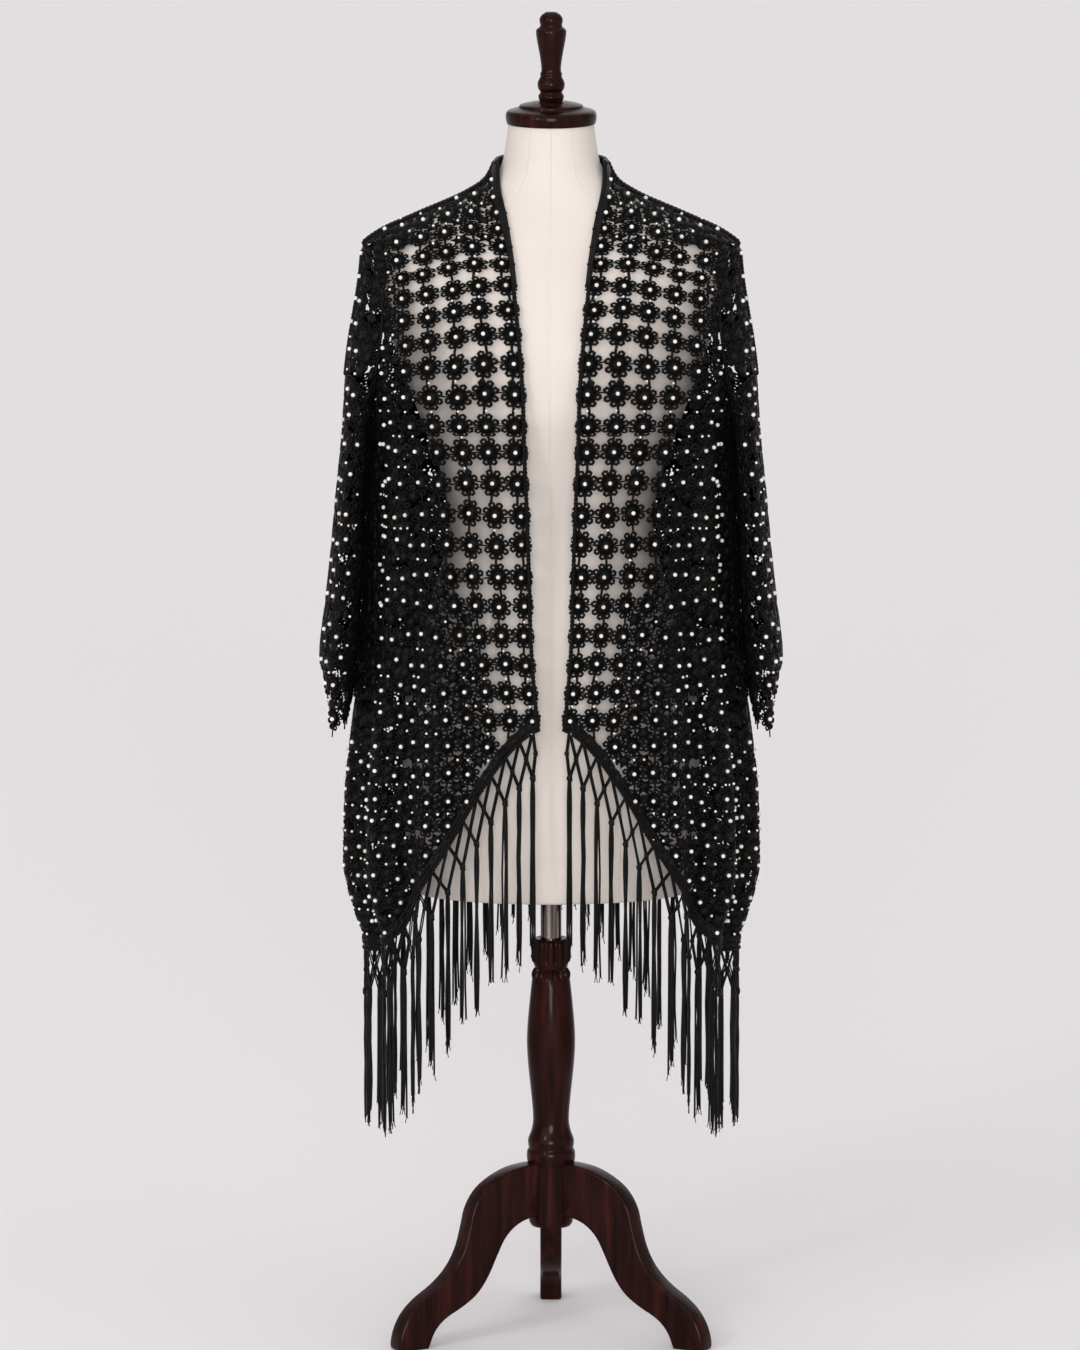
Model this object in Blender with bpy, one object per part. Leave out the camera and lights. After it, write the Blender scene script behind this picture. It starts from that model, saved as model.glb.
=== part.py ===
"""A fringed lace shawl worn open on a limbless dress form, at real size in metres with +Z up.

The wearer's front faces -Y and the wearer's left is +X. Every cut piece of the shawl is one closed
wall: the back, two fronts, two wide sleeves, one neck and front band, and three stretches of hem
border with a knotted net and tassels. The form is a torso with a turned cap and finial on a pole,
which slides in a turned column on three legs.
"""

import math

import bmesh
import bpy
from mathutils import Vector

# The column's axis lies behind the cloth's front, so that the whole object is centred on the origin
AXIS_Y = -0.0337

# Cloth
WALL = 0.002
SEAM = 0.0003
HEM_COLUMNS = 18
TOP_ROW = 1.368
CLEAR_OF_STRIP = 0.0004
STRIP_HEIGHT = 0.014

# Rows of a body panel above the hem rows; those from the armhole's top to its bottom follow it
NECK_ROWS = (TOP_ROW, 1.347, 1.328, 1.306, 1.286)
LOWER_ROWS = (0.970, 0.880, 0.800)
HEM_ROWS = 3

# Cloth sections, outer side: height, half width, depth in front of the axis, depth behind it
HEIGHT, HALF_WIDTH, FRONT, BACK = 0, 1, 2, 3
CLOTH_SECTIONS = (
    (1.370, 0.0620, 0.0600, 0.0640),
    (1.345, 0.0745, 0.0650, 0.0730),
    (1.329, 0.0980, 0.0710, 0.0810),
    (1.306, 0.1500, 0.0830, 0.0910),
    (1.283, 0.1990, 0.0940, 0.0990),
    (1.268, 0.2155, 0.1000, 0.1030),
    (1.250, 0.2145, 0.1080, 0.1080),
    (1.220, 0.2135, 0.1170, 0.1110),
    (1.180, 0.2135, 0.1260, 0.1120),
    (1.140, 0.2125, 0.1330, 0.1120),
    (1.100, 0.2120, 0.1345, 0.1120),
    (1.050, 0.2080, 0.1345, 0.1125),
    (0.950, 0.2100, 0.1345, 0.1140),
    (0.850, 0.2150, 0.1360, 0.1175),
    (0.790, 0.2200, 0.1370, 0.1205),
    (0.700, 0.2290, 0.1390, 0.1255),
    (0.620, 0.2350, 0.1400, 0.1270),
    (0.560, 0.2360, 0.1400, 0.1270),
    (0.500, 0.2230, 0.1400, 0.1270),
    (0.455, 0.2040, 0.1390, 0.1260),
)

# The sections are ellipses at the neck and fuller ovals below the bust
NECK_ROUNDNESS = 2.0
BODY_ROUNDNESS = 2.4
ROUND_ABOVE = 1.30
FULL_BELOW = 1.10

# Front opening: height, distance of the edge from the middle
OPENING = (
    (1.370, 0.0600),
    (1.353, 0.0595),
    (1.306, 0.0490),
    (1.283, 0.0450),
    (1.260, 0.0415),
    (1.213, 0.0365),
    (1.166, 0.0320),
    (1.108, 0.0280),
    (1.050, 0.0265),
    (0.980, 0.0236),
    (0.900, 0.0210),
    (0.840, 0.0195),
    (0.793, 0.0167),
    (0.746, 0.0130),
    (0.729, 0.0125),
)

# Hem arch: height at the side seams, and how much higher it is at the middle
HEM_SIDE = 0.458
HEM_RISE = 0.275

# Armhole, an oval on the side of the cloth
ARMHOLE_HEIGHT = 1.166
ARMHOLE_HALF_HEIGHT = 0.102
ARMHOLE_HALF_DEPTH = 0.066
ARMHOLE_ANGLES = (0, 35, 61, 90, 120, 147, 180)

# Folds over a quarter of the shawl, from the plain inner part (0) to the side seam (1):
# place, swing above the cuffs, swing below them; 1 is a full ridge and -1 a full trough
PLACE, SWING_HIGH, SWING_LOW = 0, 1, 2
FRONT_FOLDS = (
    (0.00, 0.00, 0.00),
    (0.22, 0.00, 0.00),
    (0.33, -0.80, -0.80),
    (0.44, 0.70, 0.80),
    (0.56, -1.00, -1.10),
    (0.67, 0.80, 1.00),
    (0.78, -1.00, -1.10),
    (0.89, 0.15, 0.70),
    (1.00, 0.00, 0.00),
)
BACK_FOLDS = (
    (0.00, 0.25, 0.35),
    (0.17, -0.20, -0.30),
    (0.33, 0.55, 0.80),
    (0.47, -0.60, -0.90),
    (0.61, 0.60, 0.90),
    (0.75, -0.80, -1.00),
    (0.89, 0.10, 0.60),
    (1.00, 0.00, 0.00),
)
FOLD_DEPTH = 0.0095
FOLDS_START = 1.22
FOLDS_FULL = 0.85
CUFF_ZONE_TOP = 0.82
CUFF_ZONE_BOTTOM = 0.64
RIGHT_SIDE_SHARE = 0.82

# Sleeve: height where its lower edge hangs, for the outer line, the front or back, and the inner line
CUFF_OUTER = 0.793
CUFF_MIDDLE = 0.702
CUFF_INNER = 0.742
SLEEVE_ROWS = (0.0, 0.05, 0.12, 0.22, 0.35, 0.50, 0.66, 0.83, 1.0)
SLEEVE_OPENS_BY = 0.35
SLEEVE_LIFT = 0.0006
BESIDE_BODY = 0.0028
# Sleeve sections: height, distance of the outer line from the middle, half depth front to back
OUTER_LINE, HALF_DEPTH = 1, 2
SLEEVE_SECTIONS = (
    (1.271, 0.2175, 0.0500),
    (1.236, 0.2230, 0.0570),
    (1.155, 0.2330, 0.0670),
    (1.050, 0.2400, 0.0790),
    (0.980, 0.2470, 0.0840),
    (0.910, 0.2535, 0.0875),
    (0.860, 0.2590, 0.0900),
    (0.793, 0.2660, 0.0930),
    (0.700, 0.2620, 0.0930),
)

# Neck and front band, laid on the panels
BAND_WIDTH = 0.009
BAND_WIDTH_AT_NECK = 0.012
BAND_LIFT = 0.0014

# Knotted net and tassels, measured down from the hem
FIRST_KNOT_DROP = 0.025
SECOND_KNOT_DROP = 0.052
FIRST_KNOT_SIZE = (0.0022, 0.0036)
BAR_WIDTH = 0.0022
SECOND_KNOT_TOP = 0.004
SECOND_KNOT_SHOULDER = 0.001
SECOND_KNOT_HALF_WIDTH = 0.0038
STRAND_WIDTH = 0.0018
STRAND_GAP = 0.0007
STRANDS = 3
TASSEL_LENGTH_FRONT = 0.258
TASSEL_LENGTH_SIDE = 0.190
STRAND_JITTER = 0.009
END_INSET = 0.30

# Torso sections: height, half width, depth in front of the axis, depth behind it
TORSO_SIDES = 24
TORSO_SECTIONS = (
    (1.4084, 0.0500, 0.0500, 0.0500),
    (1.3850, 0.0530, 0.0520, 0.0530),
    (1.3600, 0.0580, 0.0550, 0.0590),
    (1.3450, 0.0700, 0.0590, 0.0670),
    (1.3300, 0.0880, 0.0640, 0.0740),
    (1.3100, 0.1345, 0.0755, 0.0855),
    (1.2900, 0.1740, 0.0860, 0.0940),
    (1.2700, 0.1960, 0.0940, 0.0990),
    (1.2500, 0.2040, 0.1020, 0.1030),
    (1.2200, 0.2020, 0.1110, 0.1050),
    (1.1800, 0.1890, 0.1190, 0.1060),
    (1.1400, 0.1760, 0.1250, 0.1030),
    (1.1000, 0.1620, 0.1230, 0.0980),
    (1.0400, 0.1400, 0.1060, 0.0900),
    (0.9800, 0.1220, 0.0920, 0.0840),
    (0.9500, 0.1190, 0.0880, 0.0830),
    (0.9000, 0.1270, 0.0920, 0.0900),
    (0.8400, 0.1480, 0.1000, 0.1040),
    (0.7800, 0.1630, 0.1050, 0.1130),
    (0.7200, 0.1710, 0.1070, 0.1160),
    (0.6400, 0.1720, 0.1050, 0.1120),
    (0.5600, 0.1670, 0.1010, 0.1050),
    (0.5200, 0.1640, 0.0985, 0.1012),
)

# Stand
ROUND_SIDES = 16
FINIAL_SIDES = 12
POLE_RADIUS = 0.012
FIT = 0.0003
POLE_BOTTOM = 0.190
POLE_TOP = 0.5797
TORSO_BORE_TOP = 0.580
COLUMN_BORE_BOTTOM = 0.150
FINIAL_PROFILE = (
    (0.0060, 1.5362),
    (0.0118, 1.5325),
    (0.0139, 1.5270),
    (0.0117, 1.5200),
    (0.0165, 1.5170),
    (0.0177, 1.5140),
    (0.0160, 1.5020),
    (0.0128, 1.4860),
    (0.0107, 1.4695),
    (0.0128, 1.4655),
    (0.0120, 1.4625),
    (0.0150, 1.4575),
    (0.0158, 1.4530),
    (0.0148, 1.4480),
    (0.0118, 1.4445),
    (0.0147, 1.4410),
    (0.0147, 1.4380),
    (0.0130, 1.4346),
)
CAP_PROFILE = (
    (0.0165, 1.4342),
    (0.0240, 1.4330),
    (0.0330, 1.4310),
    (0.0365, 1.4295),
    (0.0365, 1.4275),
    (0.0390, 1.4262),
    (0.0470, 1.4246),
    (0.0510, 1.4225),
    (0.0520, 1.4180),
    (0.0518, 1.4130),
    (0.0505, 1.4088),
)
COLUMN_PROFILE = (
    (0.0185, 0.4640),
    (0.0205, 0.4610),
    (0.0212, 0.4490),
    (0.0205, 0.4350),
    (0.0180, 0.4280),
    (0.0196, 0.4260),
    (0.0214, 0.4220),
    (0.0247, 0.3908),
    (0.0275, 0.3600),
    (0.0281, 0.3373),
    (0.0261, 0.3105),
    (0.0231, 0.2837),
    (0.0201, 0.2516),
    (0.0224, 0.2380),
    (0.0269, 0.2275),
    (0.0264, 0.2210),
    (0.0253, 0.2170),
    (0.0280, 0.2140),
    (0.0280, 0.2035),
    (0.0262, 0.1990),
    (0.0256, 0.1960),
    (0.0256, 0.1360),
    (0.0254, 0.1300),
    (0.0224, 0.1260),
)

# Leg outline in its own plane: distance from the axis, height
LEG_THICKNESS = 0.025
LEG_ANGLES = {"leg_back": 90, "leg_left": -30, "leg_right": -150}
LEG_INNER_END = 0.0200
MORTISE_DEPTH_END = 0.0600
LEG_UPPER_EDGE = (
    (0.0200, 0.2020),
    (0.0313, 0.2020),
    (0.0544, 0.1995),
    (0.0774, 0.1904),
    (0.0975, 0.1770),
    (0.1105, 0.1568),
    (0.1147, 0.1370),
    (0.1220, 0.1098),
    (0.1349, 0.0880),
    (0.1536, 0.0709),
    (0.1780, 0.0568),
    (0.1953, 0.0409),
    (0.2054, 0.0214),
    (0.2083, 0.0027),
    (0.2044, 0.0000),
)
LEG_LOWER_EDGE = (
    (0.1694, 0.0000),
    (0.1680, 0.0011),
    (0.1608, 0.0195),
    (0.1465, 0.0333),
    (0.1235, 0.0437),
    (0.1033, 0.0568),
    (0.0890, 0.0760),
    (0.0774, 0.1000),
    (0.0659, 0.1217),
    (0.0486, 0.1353),
    (0.0284, 0.1404),
    (0.0200, 0.1404),
)

NUMERIC_STEP = 0.001


def clear_scene():
    for item in list(bpy.data.objects):
        bpy.data.objects.remove(item, do_unlink=True)


def material(name, colour, roughness, metallic=0.0):
    made = bpy.data.materials.new(name)
    made.use_nodes = True
    shader = made.node_tree.nodes["Principled BSDF"]
    shader.inputs["Base Color"].default_value = (*colour, 1.0)
    shader.inputs["Roughness"].default_value = roughness
    shader.inputs["Metallic"].default_value = metallic
    made.diffuse_color = (*colour, 1.0)
    return made


def empty_on_axis(name):
    made = bpy.data.objects.new(name, None)
    made.location = (0.0, AXIS_Y, 0.0)
    bpy.context.scene.collection.objects.link(made)
    return made


def add_object(name, shape, finish, parent, smooth=True):
    """Turns a bmesh into a named object with outward faces, under the given empty."""
    bmesh.ops.recalc_face_normals(shape, faces=shape.faces)
    mesh = bpy.data.meshes.new(name)
    shape.to_mesh(mesh)
    shape.free()
    if smooth:
        mesh.shade_smooth()
        mesh.set_sharp_from_angle(angle=math.radians(50))
    mesh.materials.append(finish)
    made = bpy.data.objects.new(name, mesh)
    made.parent = parent
    bpy.context.scene.collection.objects.link(made)
    return made


def section_value(rows, height, column):
    """A table's column at a height, on a smooth curve that doesn't overshoot the rows."""
    if height >= rows[0][HEIGHT]:
        return rows[0][column]
    if height <= rows[-1][HEIGHT]:
        return rows[-1][column]
    index = next(i for i in range(len(rows) - 1) if height >= rows[i + 1][HEIGHT])
    upper, lower = rows[index], rows[index + 1]
    span = upper[HEIGHT] - lower[HEIGHT]
    share = (upper[HEIGHT] - height) / span
    start = row_slope(rows, index, column) * span
    end = row_slope(rows, index + 1, column) * span
    square, cube = share**2, share**3
    return (
        upper[column] * (2 * cube - 3 * square + 1)
        + start * (cube - 2 * square + share)
        + lower[column] * (3 * square - 2 * cube)
        + end * (cube - square)
    )


def row_slope(rows, index, column):
    """Change of the column for each metre down, at one row of a table."""

    def secant(i):
        return (rows[i + 1][column] - rows[i][column]) / (rows[i][HEIGHT] - rows[i + 1][HEIGHT])

    if index == 0:
        return secant(0)
    if index == len(rows) - 1:
        return secant(index - 1)
    above, below = secant(index - 1), secant(index)
    if above * below <= 0:
        return 0.0
    return 2 * above * below / (above + below)


def ease(value, start, end):
    """0 at start and 1 at end, level at both."""
    share = min(max((value - start) / (end - start), 0.0), 1.0)
    return share * share * (3 - 2 * share)


def roundness(height):
    full = ease(height, ROUND_ABOVE, FULL_BELOW)
    return NECK_ROUNDNESS + (BODY_ROUNDNESS - NECK_ROUNDNESS) * full


def section_point(turn, height):
    """Point of the unfolded cloth; the turn is 0 at the front and a right angle at the left side."""
    power = 2.0 / roundness(height)
    sine, cosine = math.sin(turn), math.cos(turn)
    width = section_value(CLOTH_SECTIONS, height, HALF_WIDTH)
    depth = section_value(CLOTH_SECTIONS, height, FRONT if cosine > 0 else BACK)
    x = math.copysign(abs(sine) ** power, sine) * width
    y = -math.copysign(abs(cosine) ** power, cosine) * depth
    return Vector((x, y, height))


def level_outward(turn, height):
    """Level direction straight out of the unfolded cloth."""
    point = section_point(turn, height)
    width = section_value(CLOTH_SECTIONS, height, HALF_WIDTH)
    depth = section_value(CLOTH_SECTIONS, height, FRONT if point.y < 0 else BACK)
    power = roundness(height) - 1
    x = math.copysign(abs(point.x / width) ** power / width, point.x)
    y = math.copysign(abs(point.y / depth) ** power / depth, point.y)
    return Vector((x, y, 0.0)).normalized()


def turn_of(point):
    """Turn at which the unfolded cloth lies on the same side as the point, at the point's height."""
    width = section_value(CLOTH_SECTIONS, point.z, HALF_WIDTH)
    depth = section_value(CLOTH_SECTIONS, point.z, FRONT if point.y < 0 else BACK)
    power = roundness(point.z) / 2
    sideways = math.copysign(abs(point.x / width) ** power, point.x)
    forwards = -math.copysign(abs(point.y / depth) ** power, point.y)
    return math.atan2(sideways, forwards)


def opening_turn(height):
    """Turn of the front opening's edge."""
    width = section_value(CLOTH_SECTIONS, height, HALF_WIDTH)
    ratio = min(section_value(OPENING, height, 1) / width, 1.0)
    return math.asin(ratio ** (roundness(height) / 2))


def side_turn(height, face):
    """Turn from the middle of the front or back to the side seam, or to the armhole's edge."""
    rise = (height - ARMHOLE_HEIGHT) / ARMHOLE_HALF_HEIGHT
    if abs(rise) >= 1:
        return math.pi / 2
    edge = ARMHOLE_HALF_DEPTH * math.sqrt(1 - rise * rise)
    depth = section_value(CLOTH_SECTIONS, height, face)
    return math.acos((edge / depth) ** (roundness(height) / 2))


def even_shares(start_turn, columns):
    """Shares of the turn from a start to the side at which columns are evenly wide at the hem."""
    level = HEM_SIDE + HEM_RISE / 2
    steps = 400
    lengths = [0.0]
    last = section_point(start_turn, level)
    for step in range(1, steps + 1):
        point = section_point(start_turn + (math.pi / 2 - start_turn) * step / steps, level)
        lengths.append(lengths[-1] + (point - last).length)
        last = point
    shares = []
    for column in range(columns + 1):
        wanted = lengths[-1] * column / columns
        index = next((i for i in range(1, steps + 1) if lengths[i] >= wanted), steps)
        part = (wanted - lengths[index - 1]) / (lengths[index] - lengths[index - 1])
        shares.append((index - 1 + part) / steps)
    return shares


def fold_swing(folds, across, height):
    """Sideways swing of the cloth at a place across a quarter, from its table of folds."""
    low = ease(height, CUFF_ZONE_TOP, CUFF_ZONE_BOTTOM)
    index = next((i for i in range(len(folds) - 1) if across <= folds[i + 1][PLACE]), len(folds) - 2)
    first, second = folds[index], folds[index + 1]
    share = ease(across, first[PLACE], second[PLACE])
    start = first[SWING_HIGH] + (first[SWING_LOW] - first[SWING_HIGH]) * low
    end = second[SWING_HIGH] + (second[SWING_LOW] - second[SWING_HIGH]) * low
    return start + (end - start) * share


class Quarter:
    """One front, or one half of the back, as a surface from its middle (0) to the side seam (1)."""

    def __init__(self, face, side):
        self.face = face
        self.side = side
        self.folds = FRONT_FOLDS if face == FRONT else BACK_FOLDS
        start = opening_turn(HEM_SIDE + HEM_RISE) if face == FRONT else 0.0
        self.shares = even_shares(start, HEM_COLUMNS)

    def turn(self, across, height):
        place = across * HEM_COLUMNS
        column = min(int(place), HEM_COLUMNS - 1)
        share = self.shares[column]
        share += (self.shares[column + 1] - share) * (place - column)
        side = side_turn(height, self.face)
        start = opening_turn(height) if self.face == FRONT else 0.0
        turn = start + (side - start) * share
        return self.side * (turn if self.face == FRONT else math.pi - turn)

    def point(self, across, height):
        turn = self.turn(across, height)
        growth = ease(height, FOLDS_START, FOLDS_FULL) * FOLD_DEPTH
        if self.side < 0:
            growth *= RIGHT_SIDE_SHARE
        swing = growth * fold_swing(self.folds, across, height)
        return section_point(turn, height) + level_outward(turn, height) * swing

    def hem_height(self, across):
        """Height of the arched hem at a place across the quarter."""
        ratio = abs(math.sin(self.turn(across, HEM_SIDE))) ** (2 / BODY_ROUNDNESS)
        return HEM_SIDE + HEM_RISE * math.cos(math.pi / 2 * ratio) ** 2

    def outward(self, across, height):
        """Direction straight out of the folded cloth."""
        before, after = max(across - NUMERIC_STEP, 0.0), min(across + NUMERIC_STEP, 1.0)
        along = self.point(after, height) - self.point(before, height)
        up = self.point(across, height + NUMERIC_STEP) - self.point(across, height - NUMERIC_STEP)
        normal = along.cross(up).normalized()
        if normal.dot(level_outward(self.turn(across, height), height)) < 0:
            normal.negate()
        return normal

    def level_out(self, across, height):
        """Level direction out of the folded cloth."""
        normal = self.outward(across, height)
        normal.z = 0.0
        return normal.normalized()


def body_rows(quarter, across):
    """Heights of one column's points, from the neck down to the hem border."""
    armhole = [
        ARMHOLE_HEIGHT + ARMHOLE_HALF_HEIGHT * math.cos(math.radians(angle))
        for angle in ARMHOLE_ANGLES
    ]
    fixed = [*NECK_ROWS, *armhole, *LOWER_ROWS]
    lowest = quarter.hem_height(across) + STRIP_HEIGHT + CLEAR_OF_STRIP
    drop = (fixed[-1] - lowest) / HEM_ROWS
    return fixed + [fixed[-1] - drop * (row + 1) for row in range(HEM_ROWS)]


def column_points(quarter, across):
    """Outer and inner points of one column of a body panel."""
    heights = body_rows(quarter, across)
    outer, inner = [], []
    for height in heights:
        point = quarter.point(across, height)
        normal = quarter.outward(across, height)
        at_seam = across > 1 - NUMERIC_STEP and abs(point.y) < NUMERIC_STEP
        if at_seam:
            point.y = -SEAM / 2 if quarter.face == FRONT else SEAM / 2
            normal.y = 0.0
            normal.normalize()
        if height == heights[-1]:
            normal.z = 0.0
            normal.normalize()
        outer.append(point)
        inner.append(point - normal * WALL)
    return outer, inner


def thick_wall(outer, inner, faces):
    """A closed wall: the faces on the outer points, again on the inner ones, and sides between."""
    shape = bmesh.new()
    outside = [shape.verts.new(point) for point in outer]
    inside = [shape.verts.new(point) for point in inner]
    edges = {(face[i - 1], face[i]) for face in faces for i in range(len(face))}
    for face in faces:
        shape.faces.new([outside[i] for i in face])
        shape.faces.new([inside[i] for i in reversed(face)])
    for first, second in edges:
        if (second, first) not in edges:
            shape.faces.new([outside[second], outside[first], inside[first], inside[second]])
    return shape


def grid_faces(columns, rows, closed=False, mirrored_until=0):
    """Triangles of a grid whose points are listed column by column.

    Up to the given column, the squares are split the other way, so that two halves mirror.
    """
    faces = []
    for column in range(columns if closed else columns - 1):
        after = (column + 1) % columns
        for row in range(rows - 1):
            corner = column * rows + row
            beside = after * rows + row
            if column < mirrored_until:
                faces.append((corner, corner + 1, beside))
                faces.append((corner + 1, beside + 1, beside))
            else:
                faces.append((corner, corner + 1, beside + 1))
                faces.append((corner, beside + 1, beside))
    return faces


def panel(columns):
    """A body panel from its columns of outer and inner points."""
    outer = [point for column in columns for point in column[0]]
    inner = [point for column in columns for point in column[1]]
    return thick_wall(outer, inner, grid_faces(len(columns), len(columns[0][0])))


def front_columns(quarter):
    return [column_points(quarter, column / HEM_COLUMNS) for column in range(HEM_COLUMNS + 1)]


def back_columns(left, right):
    from_left = [column_points(left, column / HEM_COLUMNS) for column in range(HEM_COLUMNS, 0, -1)]
    to_right = [column_points(right, column / HEM_COLUMNS) for column in range(HEM_COLUMNS + 1)]
    return from_left + to_right


def sleeve_point(angle, share):
    """Outer side of the left sleeve; the angle is 0 at the top of the armhole and turns to the front."""
    cosine, sine = math.cos(angle), math.sin(angle)
    gap = SEAM + SLEEVE_LIFT / 3
    start_height = ARMHOLE_HEIGHT + (ARMHOLE_HALF_HEIGHT - gap) * cosine
    start_y = -(ARMHOLE_HALF_DEPTH - gap) * sine
    edge = section_point(turn_of_side(start_y, start_height), start_height)
    inner_weight = ((1 - cosine) / 2) ** 2
    outer_weight = ((1 + cosine) / 2) ** 2
    middle_weight = 1 - inner_weight - outer_weight
    cuff = CUFF_OUTER * outer_weight + CUFF_MIDDLE * middle_weight + CUFF_INNER * inner_weight
    cuff -= middle_weight * (1 - 2 * min(middle_weight, 0.5)) * (CUFF_OUTER - CUFF_MIDDLE) / 4
    height = start_height + (cuff - start_height) * share
    outer_x = section_value(SLEEVE_SECTIONS, height, OUTER_LINE)
    inner_x = section_value(CLOTH_SECTIONS, height, HALF_WIDTH) + BESIDE_BODY
    half_depth = section_value(SLEEVE_SECTIONS, height, HALF_DEPTH)
    opened = 1 - (1 - min(share / SLEEVE_OPENS_BY, 1.0)) ** 2
    hanging_x = (outer_x + inner_x) / 2 + (outer_x - inner_x) / 2 * cosine
    start_x = edge.x + SLEEVE_LIFT
    x = start_x + (hanging_x - start_x) * opened
    y = start_y + (-half_depth * sine - start_y) * opened
    return Vector((x, y, height))


def turn_of_side(y, height):
    """Turn of the left half's cloth at a distance in front of or behind the side."""
    depth = section_value(CLOTH_SECTIONS, height, FRONT if y < 0 else BACK)
    forwards = -math.copysign(abs(y / depth) ** (roundness(height) / 2), y)
    return math.acos(forwards)


def sleeve_outward(angle, share):
    """Direction out of the sleeve's wall."""
    start, end = max(share - NUMERIC_STEP, 0.0), min(share + NUMERIC_STEP, 1.0)
    down = sleeve_point(angle, end) - sleeve_point(angle, start)
    round_it = sleeve_point(angle + NUMERIC_STEP, share) - sleeve_point(angle - NUMERIC_STEP, share)
    normal = down.cross(round_it).normalized()
    centre = (sleeve_point(0.0, share) + sleeve_point(math.pi, share)) / 2
    if normal.dot(sleeve_point(angle, share) - centre) < 0:
        normal.negate()
    at_top = max(math.cos(angle), 0.0)
    if share == 0.0 and at_top > 0:
        body = Quarter(FRONT, 1).outward(1.0, sleeve_point(angle, 0.0).z)
        if math.sin(angle) < 0:
            body.y = -body.y
        normal = (body * at_top + normal * (1 - at_top)).normalized()
    if share == 1.0:
        normal.z = 0.0
        normal.normalize()
    return normal


def sleeve(side):
    front_angles = [math.radians(angle) for angle in ARMHOLE_ANGLES]
    back_angles = [-angle for angle in reversed(front_angles[1:-1])]
    outer, inner = [], []
    for angle in front_angles + back_angles:
        for share in SLEEVE_ROWS:
            point = sleeve_point(angle, share)
            hollow = point - sleeve_outward(angle, share) * WALL
            outer.append(Vector((point.x * side, point.y, point.z)))
            inner.append(Vector((hollow.x * side, hollow.y, hollow.z)))
    columns = len(front_angles) + len(back_angles)
    return thick_wall(outer, inner, grid_faces(columns, len(SLEEVE_ROWS), closed=True))


def band_path(fronts, backs):
    """Edge points of the neck and front band with the cloth's outward direction at each."""
    left = [(fronts[1], 0.0, height) for height in reversed(body_rows(fronts[1], 0.0))]
    left += [(fronts[1], across, TOP_ROW) for across in (0.35, 0.70)]
    half_back = [(backs[1], column / 9, TOP_ROW) for column in range(9, 0, -1)]
    right = [(fronts[-1], across, height) for _, across, height in reversed(left)]
    other_half = [(backs[-1], across, height) for _, across, height in reversed(half_back)]
    return left + half_back + [(backs[1], 0.0, TOP_ROW)] + other_half + right


def band(fronts, backs):
    """The narrow strip that edges both fronts and the neck, just outside the panels' outer points."""
    path = band_path(fronts, backs)
    edge = [quarter.point(across, height) for quarter, across, height in path]
    outward = [quarter.outward(across, height) for quarter, across, height in path]
    outer, inner = [], []
    for index, (quarter, across, height) in enumerate(path):
        before, after = max(index - 1, 0), min(index + 1, len(path) - 1)
        along = (edge[after] - edge[before]).normalized()
        width = BAND_WIDTH + (BAND_WIDTH_AT_NECK - BAND_WIDTH) * ease(height, 1.33, 1.36)
        far = edge[index] + outward[index].cross(along).normalized() * -width
        far.z = min(far.z, TOP_ROW)
        if index in (0, len(path) - 1):
            far.z = edge[index].z
        laid = section_point(turn_of(far), far.z)
        lean = section_lean(turn_of(far), far.z)
        if index in (0, len(path) - 1):
            outward[index].z = 0.0
            lean.z = 0.0
        for point, normal in ((edge[index], outward[index]), (laid, lean)):
            inner.append(point + normal.normalized() * BAND_LIFT)
            outer.append(point + normal.normalized() * (BAND_LIFT + WALL))
    return thick_wall(outer, inner, grid_faces(len(path), 2, mirrored_until=len(path) // 2))


def section_lean(turn, height):
    """Direction straight out of the unfolded cloth, with its slope."""
    along = section_point(turn + NUMERIC_STEP, height) - section_point(turn - NUMERIC_STEP, height)
    up = section_point(turn, height + NUMERIC_STEP) - section_point(turn, height - NUMERIC_STEP)
    normal = along.cross(up).normalized()
    if normal.dot(level_outward(turn, height)) < 0:
        normal.negate()
    return normal


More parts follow.
